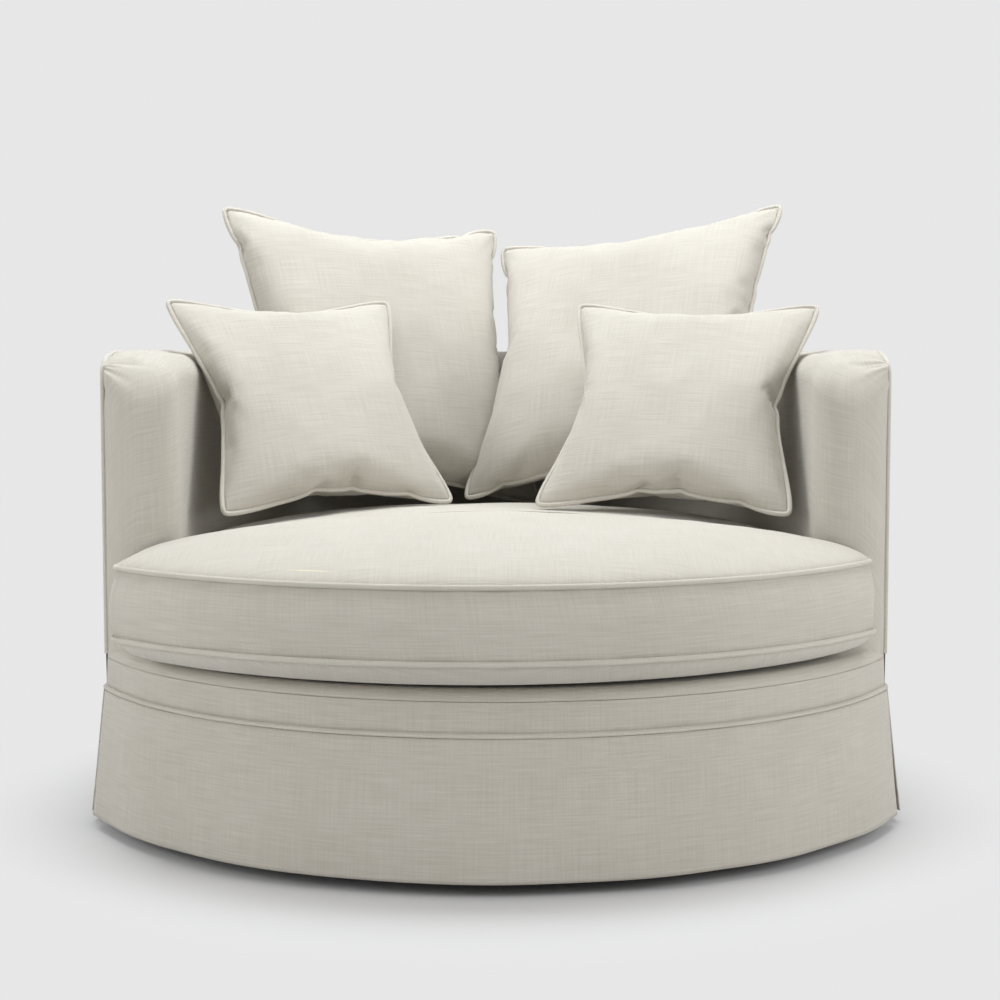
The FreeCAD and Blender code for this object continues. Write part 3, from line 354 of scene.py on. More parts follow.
def buildInsideCover():
    stations = tubStations()
    rollSteps, topSteps, faceSteps = tubCloth["rollSteps"], tubCloth["topSteps"], tubCloth["faceSteps"]
    low = deckTop - tubCloth["tuck"]
    rows, uvs = [], []
    travel = 0.0
    last = None
    for a, b, way, roll in stations:
        radius = max(0.004, tubCloth["roll"] * roll)
        spot = np.array([b[0], b[1]])
        if last is not None:
            travel += np.linalg.norm(spot - last)
        last = spot
        inner = spot + np.array(way) * radius
        outer = np.array(a)
        row = []
        for k in range(topSteps):
            share = k / topSteps
            p = outer + (inner - outer) * share
            puff = tubCloth["puff"] * math.sin(math.pi * min(1.0, share * 1.1)) * roll
            row.append((p[0], p[1], float(tubLevel(p[1])) + puff))
        for k in range(rollSteps + 1):
            turn = math.pi / 2 * (1 - k / rollSteps)
            p = spot + np.array(way) * (radius * (1 - math.cos(turn)))
            row.append((p[0], p[1], float(tubLevel(p[1])) - radius * (1 - math.sin(turn))))
        start = row[-1][2]
        for k in range(1, faceSteps + 1):
            share = k / faceSteps
            z = start + (low - start) * share
            belly = tubCloth["belly"] * math.sin(math.pi * min(1.0, share * 1.05))
            p = spot - np.array(way) * belly * min(1.0, roll + 0.2)
            row.append((p[0], p[1], z))
        row = np.array(row)
        along = np.r_[0, np.cumsum(np.linalg.norm(np.diff(row, axis=0), axis=1))]
        rows.append(row)
        uvs.append(np.stack([np.full(len(row), travel), along], 1))
    points, uv = np.array(rows), np.array(uvs)
    flat = points.reshape(-1, 3)
    wide = noiseField(flat, 5.0, 1.0) * tubCloth["wide"]
    fine = noiseField(flat * np.array([1.0, 1.0, 0.5]), 17.0, 2.0) * tubCloth["fine"]
    corner = cornerGathers(flat)
    normals = gridNormals(points).reshape(-1, 3)
    flat = flat + normals * (wide + fine + corner)[:, None]
    points = flat.reshape(points.shape)
    points[:, :, 1] += planShift
    return gridMesh("inside_cover_cloth", points, uv)


def gridNormals(points):
    du = np.gradient(points, axis=0)
    dv = np.gradient(points, axis=1)
    normals = np.cross(du, dv)
    return normals / np.maximum(1e-9, np.linalg.norm(normals, axis=2))[:, :, None]


# Short pleats fanning from the outer top corner of each arm front
def cornerGathers(points):
    total = np.zeros(len(points))
    for side in (-1, 1):
        corner = np.array([side * halfWidth, tubCloth["gatherY"], float(tubLevel(tubCloth["gatherY"]))])
        offset = points - corner
        distance = np.linalg.norm(offset, axis=1)
        angle = np.arctan2(offset[:, 2] + 0.6 * offset[:, 1], -side * offset[:, 0] + 0.02)
        waves = np.sin(angle * 11 + side) * 0.5 + np.sin(angle * 23 + 1.0) * 0.3
        near = smoothStep(0.10, 0.03, distance) * smoothStep(0.0, 0.012, distance)
        total += tubCloth["gather"] * waves * near
    return total


# Plan points along a horseshoe, right front to left front
def horseshoePath(out, front, steps=220):
    side = np.linspace(front, backCentre, 40)
    turn = np.linspace(0, math.pi, steps)
    arcPoints = np.stack([out * np.cos(turn), backCentre + out * np.sin(turn)], 1)
    right = np.stack([np.full(39, out), side[:-1]], 1)
    left = np.stack([np.full(39, -out), side[::-1][1:]], 1)
    return np.vstack([right, arcPoints, left])


outsideCloth = {"levels": 46, "bow": 0.0025, "off": 0.0006, "wobble": 0.0012}


def buildOutsideCover():
    plan = horseshoePath(halfWidth, noseEdge)
    along = np.r_[0, np.cumsum(np.linalg.norm(np.diff(plan, axis=0), axis=1))]
    levels = outsideCloth["levels"]
    way = np.gradient(plan, axis=0)
    way /= np.linalg.norm(way, axis=1)[:, None]
    outwards = np.stack([way[:, 1], -way[:, 0]], 1)
    rows, uvs = [], []
    for k, (p, n) in enumerate(zip(plan, outwards)):
        top = float(tubLevel(p[1])) - 0.001
        z = np.linspace(ringBottom, top, levels)
        share = (z - ringBottom) / (top - ringBottom)
        bow = outsideCloth["bow"] * np.sin(math.pi * share) + outsideCloth["off"]
        rows.append(np.stack([p[0] + n[0] * bow, p[1] + n[1] * bow, z], 1))
        uvs.append(np.stack([np.full(levels, along[k]), z], 1))
    points, uv = np.array(rows), np.array(uvs)
    flat = points.reshape(-1, 3)
    wobble = noiseField(flat * np.array([1, 1, 0.35]), 6.0, 5.0) * outsideCloth["wobble"]
    flat = flat + gridNormals(points).reshape(-1, 3) * wobble[:, None]
    points = flat.reshape(points.shape)
    points[:, :, 1] += planShift
    return gridMesh("outside_cover_cloth", points, uv, flip=True)


def tubWeltPath():
    out, high = halfWidth + welt["tubOut"], tubTop + welt["tubOut"]
    front = noseEdge - welt["tubOut"]
    low = bandTop + 0.007
    ys = np.linspace(front, noseFront + armFall, 20)
    rise = np.stack([np.full(20, out), ys, tubLevel(ys) + welt["tubOut"]], 1)
    upright = np.stack([np.full(60, out), np.full(60, front), np.linspace(low, rise[0, 2], 60)], 1)
    side = np.linspace(noseFront + armFall, backCentre, 12)[1:]
    straight = np.stack([np.full(11, out), side, np.full(11, high)], 1)
    right = np.vstack([upright[:-1], rise, straight])
    turn = np.linspace(0, math.pi, 200)[1:-1]
    back = np.stack([out * np.cos(turn), backCentre + out * np.sin(turn), np.full(198, high)], 1)
    left = right[::-1] * np.array([-1, 1, 1])
    path = smoothed(resample(np.vstack([right, back, left]), welt["step"]), 10)
    path[:, 1] += planShift
    return path


# Deck and front band

def frontArc(radius, sideLimit, steps):
    first = math.acos(sideLimit / radius)
    turn = np.linspace(-math.pi + first, -first, steps)
    return np.stack([radius * np.cos(turn), radius * np.sin(turn)], 1), turn


bandCloth = {"steps": 160, "levels": 16, "bow": 0.002, "wobble": 0.0010}


def buildBand():
    plan, turn = frontArc(frontRadius, halfWidth, bandCloth["steps"])
    along = frontRadius * (turn - turn[0])
    levels = np.linspace(ringBottom, bandTop, bandCloth["levels"])
    normals = np.stack([np.cos(turn), np.sin(turn)], 1)
    rows, uvs = [], []
    for k, (p, n) in enumerate(zip(plan, normals)):
        share = (levels - ringBottom) / (bandTop - ringBottom)
        bow = bandCloth["bow"] * np.sin(math.pi * share)
        rows.append(np.stack([p[0] + n[0] * bow, p[1] + n[1] * bow, levels], 1))
        uvs.append(np.stack([np.full(len(levels), along[k]), levels], 1))
    points, uv = np.array(rows), np.array(uvs)
    flat = points.reshape(-1, 3)
    wobble = noiseField(flat, 9.0, 7.0) * bandCloth["wobble"]
    flat = flat + gridNormals(points).reshape(-1, 3) * wobble[:, None]
    points = flat.reshape(points.shape)
    points[:, :, 1] += planShift
    return gridMesh("front_band_cloth", points, uv)


deckCloth = {"steps": 160, "roll": 0.017, "rollSteps": 9, "rows": 40, "narrow": 0.88, "seam": 0.0018,
             "seamWidth": 0.003}


def buildDeck():
    turn = frontArc(frontRadius, halfWidth - 0.002, deckCloth["steps"])[1]
    along = frontRadius * (turn - turn[0])
    roll, rollSteps, backRows = deckCloth["roll"], deckCloth["rollSteps"], deckCloth["rows"]
    rows, uvs = [], []
    for k, t in enumerate(turn):
        outwards = np.array([math.cos(t), math.sin(t)])
        rim = outwards * frontRadius
        row = [(rim[0], rim[1], bandTop + 0.0008)]
        for j in range(rollSteps):
            a = math.pi / 2 * j / (rollSteps - 1)
            p = rim - outwards * (roll * (1 - math.cos(a)))
            row.append((p[0], p[1], deckTop - roll + roll * math.sin(a)))
        edge = rim - outwards * roll
        endX = edge[0] * deckCloth["narrow"]
        reach = backCentre + math.sqrt(max(0.0, (innerHalf + 0.01) ** 2 - endX ** 2)) - edge[1]
        for j in range(1, backRows):
            share = (j / (backRows - 1)) ** 1.3
            row.append((edge[0] + (endX - edge[0]) * share, edge[1] + reach * share, deckTop - 0.0004))
        row = np.array(row)
        length = np.r_[0, np.cumsum(np.linalg.norm(np.diff(row, axis=0), axis=1))]
        rows.append(row)
        uvs.append(np.stack([np.full(len(row), along[k]), length], 1))
    points, uv = np.array(rows), np.array(uvs)
    seam = np.exp(-(points[:, :, 0] / deckCloth["seamWidth"]) ** 2) * deckCloth["seam"]
    points = points - gridNormals(points) * seam[:, :, None]
    points[:, :, 1] += planShift
    return gridMesh("deck_cloth", points, uv)


# Skirt

skirt = {"out": 0.0061, "slit": 0.004, "rows": 34, "flare": 0.020, "endFlare": 0.004, "endWidth": 0.03,
         "slack": 0.003, "sideSlack": 0.0015, "wobble": 0.0010, "hemStitch": 0.048, "cloth": 0.0022}


# One panel: flared, with soft waves that grow towards the hem
def skirtGrid(name, plan, outwards, topLevel, slack, seed):
    along = np.r_[0, np.cumsum(np.linalg.norm(np.diff(plan, axis=0), axis=1))]
    count = skirt["rows"]
    share = np.linspace(0, 1, count)
    z = topLevel + (hemLevel - topLevel) * share
    rows, uvs = [], []
    rng = np.random.default_rng(seed)
    waves = [(rng.uniform(3.0, 7.5), rng.uniform(0, 6.28), rng.uniform(0.4, 1.0)) for _ in range(5)]
    total = along[-1]
    for k, (p, n) in enumerate(zip(plan, outwards)):
        s = along[k]
        ripple = sum(w * math.sin(2 * math.pi * s / (total / f) + ph) for f, ph, w in waves) / 3.0
        hang = skirt["flare"] * share ** 0.9 + slack * ripple * share ** 1.5
        end = min(s, total - s)
        hang = hang + skirt["endFlare"] * math.exp(-end / skirt["endWidth"]) * share ** 2
        rows.append(np.stack([p[0] + n[0] * hang, p[1] + n[1] * hang, z], 1))
        uvs.append(np.stack([np.full(count, s), z], 1))
    points, uv = np.array(rows), np.array(uvs)
    flat = points.reshape(-1, 3)
    hemBand = smoothStep(0.0, 0.006, np.abs(uv[:, :, 1].ravel() - skirt["hemStitch"]))
    wobble = noiseField(flat * np.array([1, 1, 0.4]), 14.0, seed) * skirt["wobble"]
    wobble = wobble - 0.0006 * (1 - hemBand)
    flat = flat + gridNormals(points).reshape(-1, 3) * wobble[:, None]
    points = flat.reshape(points.shape)
    points[:, :, 1] += planShift
    piece = gridMesh(name, points, uv)
    thicken(piece, skirt["cloth"])
    return piece


def buildSkirt():
    thick, slack = skirt["out"], skirt["slack"]
    pieces = {}
    radius = frontRadius + thick
    plan, turn = frontArc(radius, halfWidth + 0.001, 170)
    outwards = np.stack([np.cos(turn), np.sin(turn)], 1)
    pieces["skirt_front"] = skirtGrid("skirt_front_cloth", plan, outwards, skirtTop, slack, 4)
    cornerY = -math.sqrt(frontRadius ** 2 - halfWidth ** 2)
    for name, side, seed in (("skirt_left", -1, 5), ("skirt_right", 1, 6)):
        ys = np.linspace(cornerY + 0.008, backCentre - skirt["slit"] / 2, 50)
        plan = np.stack([np.full(50, side * (halfWidth + thick)), ys], 1)
        outwards = np.tile([side, 0.0], (50, 1))
        if side < 0:
            plan, outwards = plan[::-1], outwards[::-1]
        pieces[name] = skirtGrid(name + "_cloth", plan, outwards, skirtTop, skirt["sideSlack"], seed)
    turn = np.linspace(0.004, math.pi - 0.004, 240)
    outwards = np.stack([np.cos(turn), np.sin(turn)], 1)
    plan = (halfWidth + thick) * outwards + np.array([0.0, backCentre])
    pieces["skirt_back"] = skirtGrid("skirt_back_cloth", plan, outwards, skirtTop, slack, 9)
    return pieces


def skirtWeltPath():
    out, front = halfWidth + welt["skirtOut"], frontRadius + welt["skirtOut"]
    level = skirtTop + welt["skirtUp"]
    first = math.acos(out / front)
    turn = np.linspace(-math.pi + first, -first, 200)
    arcFront = np.stack([front * np.cos(turn), front * np.sin(turn)], 1)
    ys = np.linspace(arcFront[-1, 1], backCentre, 30)[1:-1]
    right = np.stack([np.full(28, out), ys], 1)
    turn = np.linspace(0, math.pi, 220)
    back = np.stack([out * np.cos(turn), backCentre + out * np.sin(turn)], 1)
    left = np.stack([np.full(28, -out), ys[::-1]], 1)
    plan = np.vstack([arcFront, right, back, left])
    path = np.column_stack([plan, np.full(len(plan), level)])
    path = smoothed(resample(path, welt["step"], True), 2, True)
    path[:, 1] += planShift
    return path


# Seat cushion

seat = {"centreX": -0.030, "topRadius": 0.752, "bottomRadius": 0.775, "left": -0.594, "right": 0.603,
        "low": 0.3465, "high": 0.454, "crown": 0.066, "domeY": -0.200, "corner": 0.022, "ear": 0.010,
        "notch": 0.012, "side": 0.521, "earBack": -0.360, "step": 0.008, "lowRings": 11, "boxing": 22,
        "crownRings": 52, "bulge": 0.010, "pucker": 0.0011, "puckerReach": 0.016, "broad": 0.0035,
        "crease": 0.0022}


def arcPoints(cx, cy, radius, start, end, steps):
    turn = np.radians(np.linspace(start, end, steps))
    return np.stack([cx + radius * np.cos(turn), cy + radius * np.sin(turn)], 1)


# Right or left half outline, front to back, grown outwards by out
def seatHalf(side, radius, out):
    front = radius + out
    corner, ear, notch = seat["corner"] + out, seat["ear"] + out / 2, max(0.002, seat["notch"] - out)
    earBack = seat["earBack"] + out
    inner = side * (seat["side"] + out)
    x = (seat["left"] if side < 0 else seat["right"]) + side * out
    cx = x - side * corner
    cy = -math.sqrt((front - corner) ** 2 - (cx - seat["centreX"]) ** 2)
    turn = math.degrees(math.atan2(cy, cx - seat["centreX"]))
    flat = 0 if side > 0 else -180
    parts = [arcPoints(cx, cy, corner, turn, flat, 10),
             arcPoints(x - side * ear, earBack - ear, ear, flat, flat + side * 90, 8),
             arcPoints(inner + side * notch, earBack + notch, notch, -90, -90 - side * 90, 8),
             arcPoints(0.0, backCentre, abs(inner), flat, flat + side * 90, 60)]
    return np.vstack(parts), turn


def seatOutline(radius, out, step):
    right, rightTurn = seatHalf(1, radius, out)
    left, leftTurn = seatHalf(-1, radius, out)
    front = arcPoints(seat["centreX"], 0.0, radius + out, leftTurn, rightTurn, 120)
    plan = np.vstack([front[1:-1], right, left[::-1][1:]])
    path = np.column_stack([plan, np.zeros(len(plan))])
    return resample(path, step, True)[:, :2]


# The outline again with this many points, spaced evenly from the same start
def matched(outline, count):
    closed = np.vstack([outline, outline[:1]])
    along = np.r_[0, np.cumsum(np.linalg.norm(np.diff(closed, axis=0), axis=1))]
    at = np.linspace(0, along[-1], count, endpoint=False)
    return np.stack([np.interp(at, along, closed[:, k]) for k in range(2)], 1)


def buildSeatCushion():
    top = seatOutline(seat["topRadius"], 0.0, seat["step"])
    count = len(top)
    bottom = matched(seatOutline(seat["bottomRadius"], 0.0, seat["step"]), count)
    dome = np.array([0.0, seat["domeY"]])
    lowRings, boxing, crownRings = seat["lowRings"], seat["boxing"], seat["crownRings"]
    rings = []
    for k in range(lowRings, -1, -1):
        turn = math.pi / 2 * k / lowRings
        share = 1 - (1 - math.cos(turn)) * 0.2
        rings.append((bottom, share, seat["low"] - (seat["low"] - deckTop - 0.0012) * math.sin(turn)))
    for k in range(1, boxing):
        share = k / boxing
        level = seat["low"] + (seat["high"] - seat["low"]) * share
        rings.append((bottom * (1 - share) + top * share, 1.0, level))
    for k in range(crownRings + 1):
        turn = math.pi / 2 * (k / crownRings) ** 0.85
        rings.append((top, math.cos(turn), seat["high"] + seat["crown"] * math.sin(turn)))
    verts, uv = [], []
    closedTop = np.vstack([top, top[:1]])
    along = np.r_[0, np.cumsum(np.linalg.norm(np.diff(closedTop, axis=0), axis=1))][:-1]
    for index, (outline, share, z) in enumerate(rings[:-1]):
        ring = dome + (outline - dome) * share
        verts.append(np.column_stack([ring, np.full(count, z)]))
        if lowRings <= index < lowRings + boxing:
            uv.append(np.stack([along, np.full(count, z)], 1))
        else:
            uv.append(ring.copy())
    points = np.array(verts)
    flat = points.reshape(-1, 3)
    normals = ringNormals(points).reshape(-1, 3)
    level = flat[:, 2]
    angle = np.tile(along, len(points))
    rowIndex = np.repeat(np.arange(len(points)), count)
    inBoxing = (rowIndex >= lowRings) & (rowIndex < lowRings + boxing)
    share = np.clip((level - seat["low"]) / (seat["high"] - seat["low"]), 0, 1)
    bulge = np.where(inBoxing, seat["bulge"] * np.sin(math.pi * share), 0.0)
    pucker = np.sin(angle / 0.021 + 2.2 * np.sin(angle / 0.11)) * 0.5 + np.sin(angle / 0.0137 + 1.3) * 0.3
    nearPiping = sum(np.exp(-np.abs(level - seat[edge]) / seat["puckerReach"]) for edge in ("high", "low"))
    ripples = seat["pucker"] * pucker * nearPiping
    broad = noiseField(flat * np.array([1, 1, 0.6]), 4.2, 11.0) * seat["broad"]
    creases = -np.abs(noiseField(flat * np.array([1.0, 0.5, 1.0]), 9.0, 12.0)) * seat["crease"]
    keep = np.where(inBoxing, 0.5, 1.0) * smoothStep(0.0, 0.006, np.abs(level - seat["high"]) + 0.001)
    bottomKeep = smoothStep(deckTop + 0.003, deckTop + 0.02, level)
    fromPole = np.hypot(flat[:, 0] - dome[0], flat[:, 1] - dome[1])
    keep = keep * np.where(level > seat["high"], smoothStep(0.0, 0.16, fromPole), 1.0)
    total = (bulge + ripples + (broad + creases) * keep) * bottomKeep
    flat = flat + normals * total[:, None]
    flat[:, 2] = np.maximum(flat[:, 2], deckTop + 0.0008)
    verts = np.vstack([flat, [[dome[0], dome[1], seat["high"] + seat["crown"]]],
                       [[dome[0], dome[1], deckTop + 0.0012]]])
    uvs = np.vstack([np.array(uv).reshape(-1, 2), [dome], [dome]])
    rows = len(points)
    faces = gridFaces(rows, count, False, True)
    topCentre, lowCentre = rows * count, rows * count + 1
    for j in range(count):
        after = (j + 1) % count
        faces.append(((rows - 1) * count + j, topCentre, (rows - 1) * count + after))
        faces.append((j, after, lowCentre))
    faces = [face[::-1] for face in faces]
    verts[:, 1] += planShift
    return makeMesh("seat_cushion_cloth", verts, faces, uvs)


def ringNormals(points):
    du = np.gradient(points, axis=0)
    dv = np.roll(points, -1, 1) - np.roll(points, 1, 1)
    normals = np.cross(dv, du)
    return normals / np.maximum(1e-9, np.linalg.norm(normals, axis=2))[:, :, None]


def seatWeltPath(radius, level):
    outline = seatOutline(radius, welt["seatOut"], welt["step"])
    path = np.column_stack([outline, np.full(len(outline), level)])
    path = smoothed(path, 1, True)
    path[:, 1] += planShift
    return path


# Pillows: two square panels sewn together, filled by pressure

pillowSims = {
    "back_pillow_left": {"size": 0.590, "half": 0.084, "cells": 56, "pull": (0.045, 0.035), "seed": 3},
    "back_pillow_right": {"size": 0.590, "half": 0.084, "cells": 56, "pull": (0.045, 0.035), "seed": 8},
    "scatter_pillow_left": {"size": 0.440, "half": 0.062, "cells": 48, "pull": (0.075, 0.035), "seed": 5},
    "scatter_pillow_right": {"size": 0.440, "half": 0.062, "cells": 48, "pull": (0.075, 0.035), "seed": 6},
}
pillowCloth = {"pressure": 7.0, "stiff": 30.0, "shear": 12.0, "bend": 0.25, "mass": 0.2, "frames": 24,
               "quality": 5, "damping": 12, "bendDamping": 0.6, "air": 4, "full": 1.12, "round": 0.028,
               "dent": 0.008, "fold": 0.004}
pillowPoses = {
    "back_pillow_left": ((-0.2208, 0.2458, 0.7825), (29.7, -22.2, 2.7)),
    "back_pillow_right": ((0.2468, 0.2071, 0.7959), (-27.9, -32.8, -8.1)),
    "scatter_pillow_left": ((-0.3356, -0.0323, 0.7028), (30.2, -34.3, -0.7)),
    "scatter_pillow_right": ((0.3250, -0.0960, 0.7000), (-17.2, -37.0, 0.9)),
}


def pillowPose(name):
    (x, y, z), (turn, lean, roll) = pillowPoses[name]
    rotation = (Matrix.Rotation(math.radians(turn), 4, "Z") @ Matrix.Rotation(math.radians(lean), 4, "X")
                @ Matrix.Rotation(math.radians(roll), 4, "Y"))
    return Matrix.Translation((x, y + planShift, z)) @ rotation


# Front and back panels with a shared edge, slightly apart, in the XZ plane
def flatPillow(name, size, cells, thickness, pull):
    step = np.linspace(-1, 1, cells + 1)
    verts, uv, index = [], [], {}
    for side in (-1, 1):
        for i, u in enumerate(step):
            for j, v in enumerate(step):
                edge = i in (0, cells) or j in (0, cells)
                if edge and side > 0:
                    index[(side, i, j)] = index[(-1, i, j)]
                    continue
                full = max(0.0, 1 - u * u) * max(0.0, 1 - v * v)
                index[(side, i, j)] = len(verts)
                near = 1 - pillowCloth["round"] * abs(u * v) ** 9
                x = u * near * size / 2 * (1 - pull[0] * (1 - v * v))
                z = v * near * size / 2 * (1 - pull[1] * (1 - u * u))
                verts.append((x, side * thickness * full ** 0.6, z))
                uv.append((u * size / 2 + (0 if side < 0 else size), v * size / 2))
    faces = []
    for side in (-1, 1):
        for i in range(cells):
            for j in range(cells):
                quad = [index[(side, i, j)], index[(side, i + 1, j)],
                        index[(side, i + 1, j + 1)], index[(side, i, j + 1)]]
                faces.append(quad if side < 0 else quad[::-1])
    rim = [index[(-1, i, 0)] for i in range(cells)]
    rim += [index[(-1, cells, j)] for j in range(cells)]
    rim += [index[(-1, i, cells)] for i in range(cells, 0, -1)]
    rim += [index[(-1, 0, j)] for j in range(cells, 0, -1)]
    return makeMesh(name, verts, faces, uv), rim


def simulatePillow(name):
    values = pillowSims[name]
    piece, rim = flatPillow(name + "_cloth", values["size"], values["cells"], values["half"] * 0.5,
                            values["pull"])
    cloth = piece.modifiers.new("cloth", "CLOTH")
    settings = cloth.settings
    settings.quality = pillowCloth["quality"]
    settings.mass = pillowCloth["mass"]
    settings.tension_stiffness = pillowCloth["stiff"]
    settings.compression_stiffness = pillowCloth["stiff"]
    settings.shear_stiffness = pillowCloth["shear"]
    settings.bending_stiffness = pillowCloth["bend"]
    settings.tension_damping = pillowCloth["damping"]
    settings.compression_damping = pillowCloth["damping"]
    settings.shear_damping = pillowCloth["damping"]
    settings.bending_damping = pillowCloth["bendDamping"]
    settings.air_damping = pillowCloth["air"]
    settings.use_pressure = True
    settings.uniform_pressure_force = pillowCloth["pressure"]
    settings.effector_weights.gravity = 0.0
    cloth.collision_settings.use_collision = False
    cloth.collision_settings.use_self_collision = False
    scene = bpy.context.scene
    scene.frame_start, scene.frame_end = 1, pillowCloth["frames"]
    cloth.point_cache.frame_start, cloth.point_cache.frame_end = 1, pillowCloth["frames"]
    for frameNumber in range(1, pillowCloth["frames"] + 1):
        scene.frame_set(frameNumber)
        shape = meshPoints(piece.evaluated_get(bpy.context.evaluated_depsgraph_get()))
        if shape[:, 1].max() > values["half"] * pillowCloth["full"]:
            break
    print("filled in", scene.frame_current, "frames", flush=True)
    applyModifiers(piece)
    scene.frame_set(1)
    fitPillow(piece, values)
    piece.data.transform(pillowPose(name))
    print("pillow filled", name, flush=True)
    return piece, rim


def meshPoints(obj):
    co = np.zeros(len(obj.data.vertices) * 3)
    obj.data.vertices.foreach_get("co", co)
    return co.reshape(-1, 3)


# Bring the filled pillow to its sewn size, with soft dents and a fuller lower half
def fitPillow(piece, values):
    co = meshPoints(piece)
    co -= (co.max(0) + co.min(0)) / 2
    span = (co.max(0) - co.min(0)) / 2
    co[:, 0] *= values["size"] / 2 / span[0]
    co[:, 2] *= values["size"] / 2 / span[2]
    co[:, 1] *= values["half"] / span[1]
    u, v = co[:, 0] / (values["size"] / 2), co[:, 2] / (values["size"] / 2)
    inner = np.clip(1 - u * u, 0, 1) * np.clip(1 - v * v, 0, 1)
    broad = noiseField(co, 5.5, values["seed"]) * pillowCloth["dent"]
    fold = -np.abs(noiseField(co * np.array([1.0, 0.6, 0.7]), 11.0, values["seed"] + 20))
    side = np.sign(co[:, 1])
    co[:, 1] = co[:, 1] * (0.97 - 0.07 * v) + side * (broad + fold * pillowCloth["fold"]) * inner
    piece.data.vertices.foreach_set("co", co.ravel())
    piece.data.update()


# Cord in the seam between the panels, just outside the edge
def pillowWelt(name, piece, rim):
    path = meshPoints(piece)[rim]
    outwards = path - path.mean(0)
    outwards /= np.linalg.norm(outwards, axis=1)[:, None]
    path = path + outwards * welt["pillowOut"]
    path = smoothed(resample(path, welt["pillowStep"], True), 1, True)
    return tube(name + "_cord", path, welt["radius"], welt["sides"], True)


# Nodes that keep their own shape: feet, frame, webbing, foam, zip

def dressNode(name, material):
    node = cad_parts[name]
    setMaterial(node, material)
    node.data.polygons.foreach_set("use_smooth", [False] * len(node.data.polygons))


# Stage

paper = {"half": 9.0, "depth": 2.6, "radius": 1.6, "rise": 4.5, "near": 0.62, "far": 0.95, "tone": 0.80}


# Pale paper that shows shadows near the chair and an even tone further away
def paperMaterial():
    material = plainMaterial("paper", (0.72, 0.72, 0.72), 0.95)
    nodes, links = material.node_tree.nodes, material.node_tree.links
    shader, leave = nodes["Principled BSDF"], nodes["Material Output"]
    coords = nodes.new("ShaderNodeTexCoord")
    length = nodes.new("ShaderNodeVectorMath")
    length.operation = "LENGTH"
    away = nodes.new("ShaderNodeMapRange")
    away.interpolation_type = "SMOOTHSTEP"
    away.inputs["From Min"].default_value = paper["near"]
    away.inputs["From Max"].default_value = paper["far"]
    path = nodes.new("ShaderNodeLightPath")
    seen = nodes.new("ShaderNodeMath")
    seen.operation = "MULTIPLY"
    even = nodes.new("ShaderNodeEmission")
    even.inputs["Color"].default_value = (paper["tone"], paper["tone"], paper["tone"], 1.0)
    mix = nodes.new("ShaderNodeMixShader")
    links.new(coords.outputs["Object"], length.inputs[0])
    links.new(length.outputs["Value"], away.inputs["Value"])
    links.new(away.outputs["Result"], seen.inputs[0])
    links.new(path.outputs["Is Camera Ray"], seen.inputs[1])
    links.new(seen.outputs[0], mix.inputs[0])
    links.new(shader.outputs[0], mix.inputs[1])
    links.new(even.outputs[0], mix.inputs[2])
    links.new(mix.outputs[0], leave.inputs["Surface"])
    return material


def buildStage():
    floor = bpy.data.meshes.new("floor")
    half, depth, radius = paper["half"], paper["depth"], paper["radius"]
    turns = np.linspace(0.1, math.pi / 2, 14)
    profile = [(-half, 0.0), (depth, 0.0)]
    profile += [(depth + radius * math.sin(a), radius * (1 - math.cos(a))) for a in turns]
    profile.append((depth + radius, paper["rise"]))
    verts = [(x, y, z) for x in (-half, half) for y, z in profile]
    count = len(profile)
    faces = [(k, k + 1, count + k + 1, count + k) for k in range(count - 1)]
    floor.from_pydata(verts, [], [face[::-1] for face in faces])
    floor.polygons.foreach_set("use_smooth", [True] * len(faces))
    obj = bpy.data.objects.new("backdrop", floor)
    bpy.context.scene.collection.objects.link(obj)
    setMaterial(obj, paperMaterial())


def addLight(name, place, target, size, power, color):
    data = bpy.data.lights.new(name, "AREA")
    data.shape = "RECTANGLE"
    data.size, data.size_y = size
    data.energy = power
    data.color = color
    obj = bpy.data.objects.new(name, data)
    obj.location = place
    obj.rotation_euler = (Vector(target) - Vector(place)).to_track_quat("-Z", "Y").to_euler()
    bpy.context.scene.collection.objects.link(obj)


# Room light, and lamps: name, place, target, size, power, colour
roomLevel = 0.42
lamps = [("top", (0.0, 0.25, 2.9), (0, 0.15, 0.4), (2.8, 1.4), 74, (0.94, 0.97, 1.0)),
         ("left", (-2.7, -1.9, 1.5), (0, 0, 0.5), (1.4, 1.6), 30, (1, 1, 1)),
         ("right", (2.8, -1.6, 1.5), (0, 0, 0.5), (1.4, 1.6), 36, (1, 1, 1))]


def buildLights():
    world = bpy.data.worlds.new("room")
    world.use_nodes = True
    background = world.node_tree.nodes["Background"]
    background.inputs[0].default_value = (1.0, 1.0, 1.0, 1.0)
    background.inputs[1].default_value = roomLevel
    bpy.context.scene.world = world
    for values in lamps:
        addLight(*values)


camera = {"x": 0.007, "y": -3.372, "z": 0.778, "tilt": 4.328, "sensor": 36, "lens": 66.42}


def buildCamera():
    data = bpy.data.cameras.new("camera")
    data.sensor_width = camera["sensor"]
    data.lens = camera["lens"]
    obj = bpy.data.objects.new("camera", data)
    obj.location = (camera["x"], camera["y"] + planShift, camera["z"])
    obj.rotation_euler = (math.radians(90 - camera["tilt"]), 0, 0)
    bpy.context.scene.collection.objects.link(obj)
    bpy.context.scene.camera = obj


# Build

buildCamera()
buildStage()
buildLights()
bpy.context.scene.view_settings.view_transform = "Standard"
weaveTree = weaveGroup()
linenTub = linenMaterial("linen tub", weaveTree, seed=1.0)
linenSeat = linenMaterial("linen seat", weaveTree, seed=2.0)
linenPillow = linenMaterial("linen pillow", weaveTree, seed=3.0)
# Cord linen: the same linen made 7% lighter, a painted highlight along all the piping
litLinenCord = linenMaterial("linen cord", weaveTree, lift=1.07, seed=4.0)
print("materials made", flush=True)

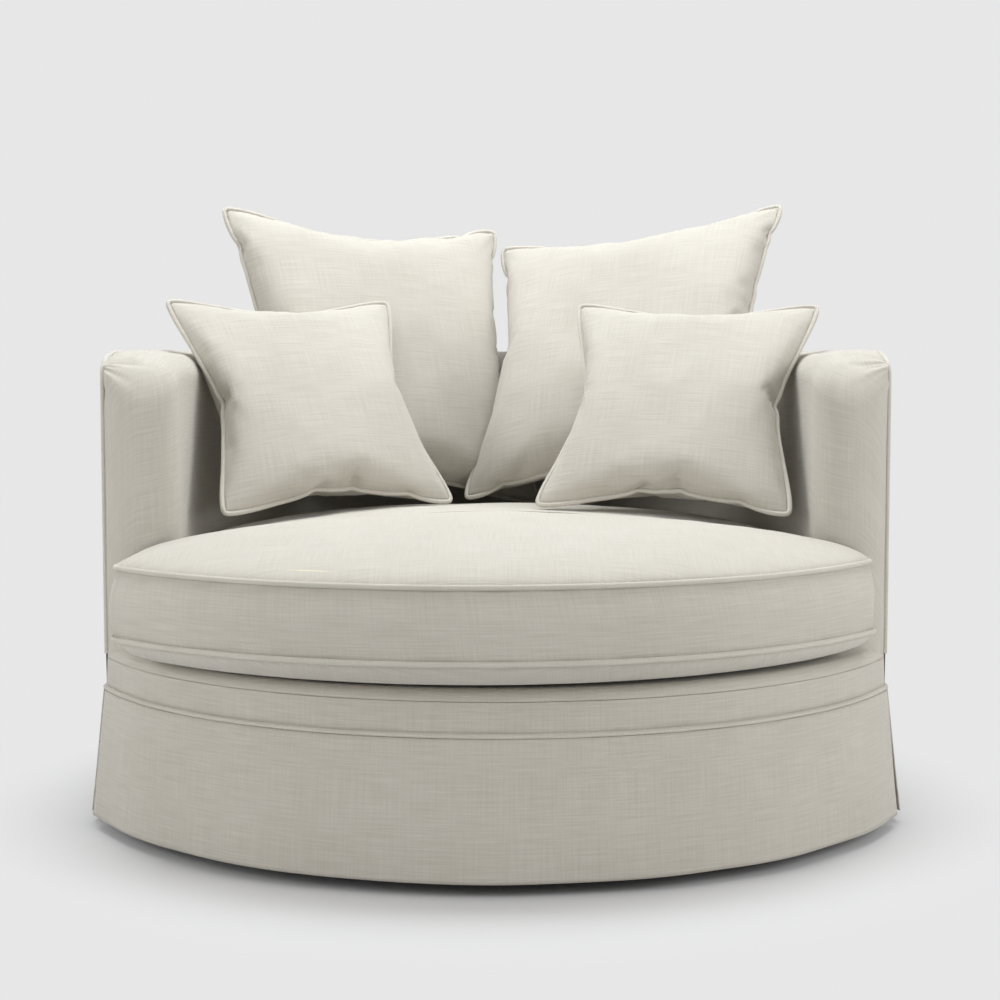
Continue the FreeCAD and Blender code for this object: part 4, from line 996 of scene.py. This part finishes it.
inside = buildInsideCover()
setMaterial(inside, linenTub)
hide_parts("inside_cover")
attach(inside, "chair")
outside = buildOutsideCover()
setMaterial(outside, linenTub)
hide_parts("outside_cover")
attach(outside, "chair")
tubCord = tube("tub_cord", tubWeltPath(), welt["radius"], welt["sides"])
setMaterial(tubCord, litLinenCord)
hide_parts("tub_welt")
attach(tubCord, "chair")
print("tub built", flush=True)

band = buildBand()
setMaterial(band, linenTub)
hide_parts("front_band_cover")
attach(band, "chair")
deck = buildDeck()
setMaterial(deck, linenTub)
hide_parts("deck_cover")
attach(deck, "chair")
for node, piece in buildSkirt().items():
    setMaterial(piece, linenTub)
    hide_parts(node)
    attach(piece, "chair")
skirtCord = tube("skirt_cord", skirtWeltPath(), welt["radius"], welt["sides"], True)
setMaterial(skirtCord, litLinenCord)
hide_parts("skirt_welt")
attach(skirtCord, "chair")
print("base and skirt built", flush=True)

cushion = buildSeatCushion()
setMaterial(cushion, linenSeat)
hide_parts("seat_cushion_cover")
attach(cushion, "seat_cushion")
for node, radius, level in (("seat_top_welt", seat["topRadius"], seat["high"]),
                            ("seat_bottom_welt", seat["bottomRadius"], seat["low"])):
    cord = tube(node + "_cord", seatWeltPath(radius, level), welt["radius"], welt["sides"], True)
    setMaterial(cord, litLinenCord)
    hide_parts(node)
    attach(cord, "seat_cushion")
print("seat cushion built", flush=True)

sewn = []
for name in pillowPoses:
    piece, rim = simulatePillow(name)
    sewn.append((name, piece, pillowWelt(name, piece, rim)))
for name, piece, cord in sewn:
    setMaterial(piece, linenPillow)
    setMaterial(cord, litLinenCord)
    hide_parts(name + "_cover", name + "_fill")
    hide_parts(name + "_welt")
    for obj in (piece, cord):
        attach(obj, name)
print("pillows built", flush=True)

darkWood = plainMaterial("dark wood", (0.012, 0.010, 0.009), 0.35)
plainWood = plainMaterial("plain wood", (0.50, 0.36, 0.22), 0.6)
blackCloth = plainMaterial("black cloth", (0.02, 0.02, 0.022), 0.9)
steel = plainMaterial("zinc", (0.5, 0.5, 0.5), 0.35, 1.0)
foam = plainMaterial("foam", (0.72, 0.66, 0.48), 0.9)
finishes = {"legs": darkWood, "leg_glides": blackCloth, "leg_bolts": steel, "tee_nuts": steel,
            "dust_cover": blackCloth, "lengthwise_webbing": blackCloth, "crosswise_webbing": blackCloth,
            "back_webbing": blackCloth, "tub_foam": foam, "deck_pad": foam, "front_band_foam": foam,
            "seat_cushion_core": foam, "deck_felt": blackCloth}
for node in ("leg_blocks", "base_ring", "seat_ring", "base_posts", "stretchers", "arm_front_panels",
             "mid_rail", "top_rail", "lower_posts", "upper_posts", "outer_board", "front_board"):
    finishes[node] = plainWood
for node, material in finishes.items():
    dressNode(node, material)
for node in ("pleat_backers", "seat_zip"):
    dressNode(node, linenTub)
dressNode("seat_zip_slider", steel)
print("frame dressed", flush=True)
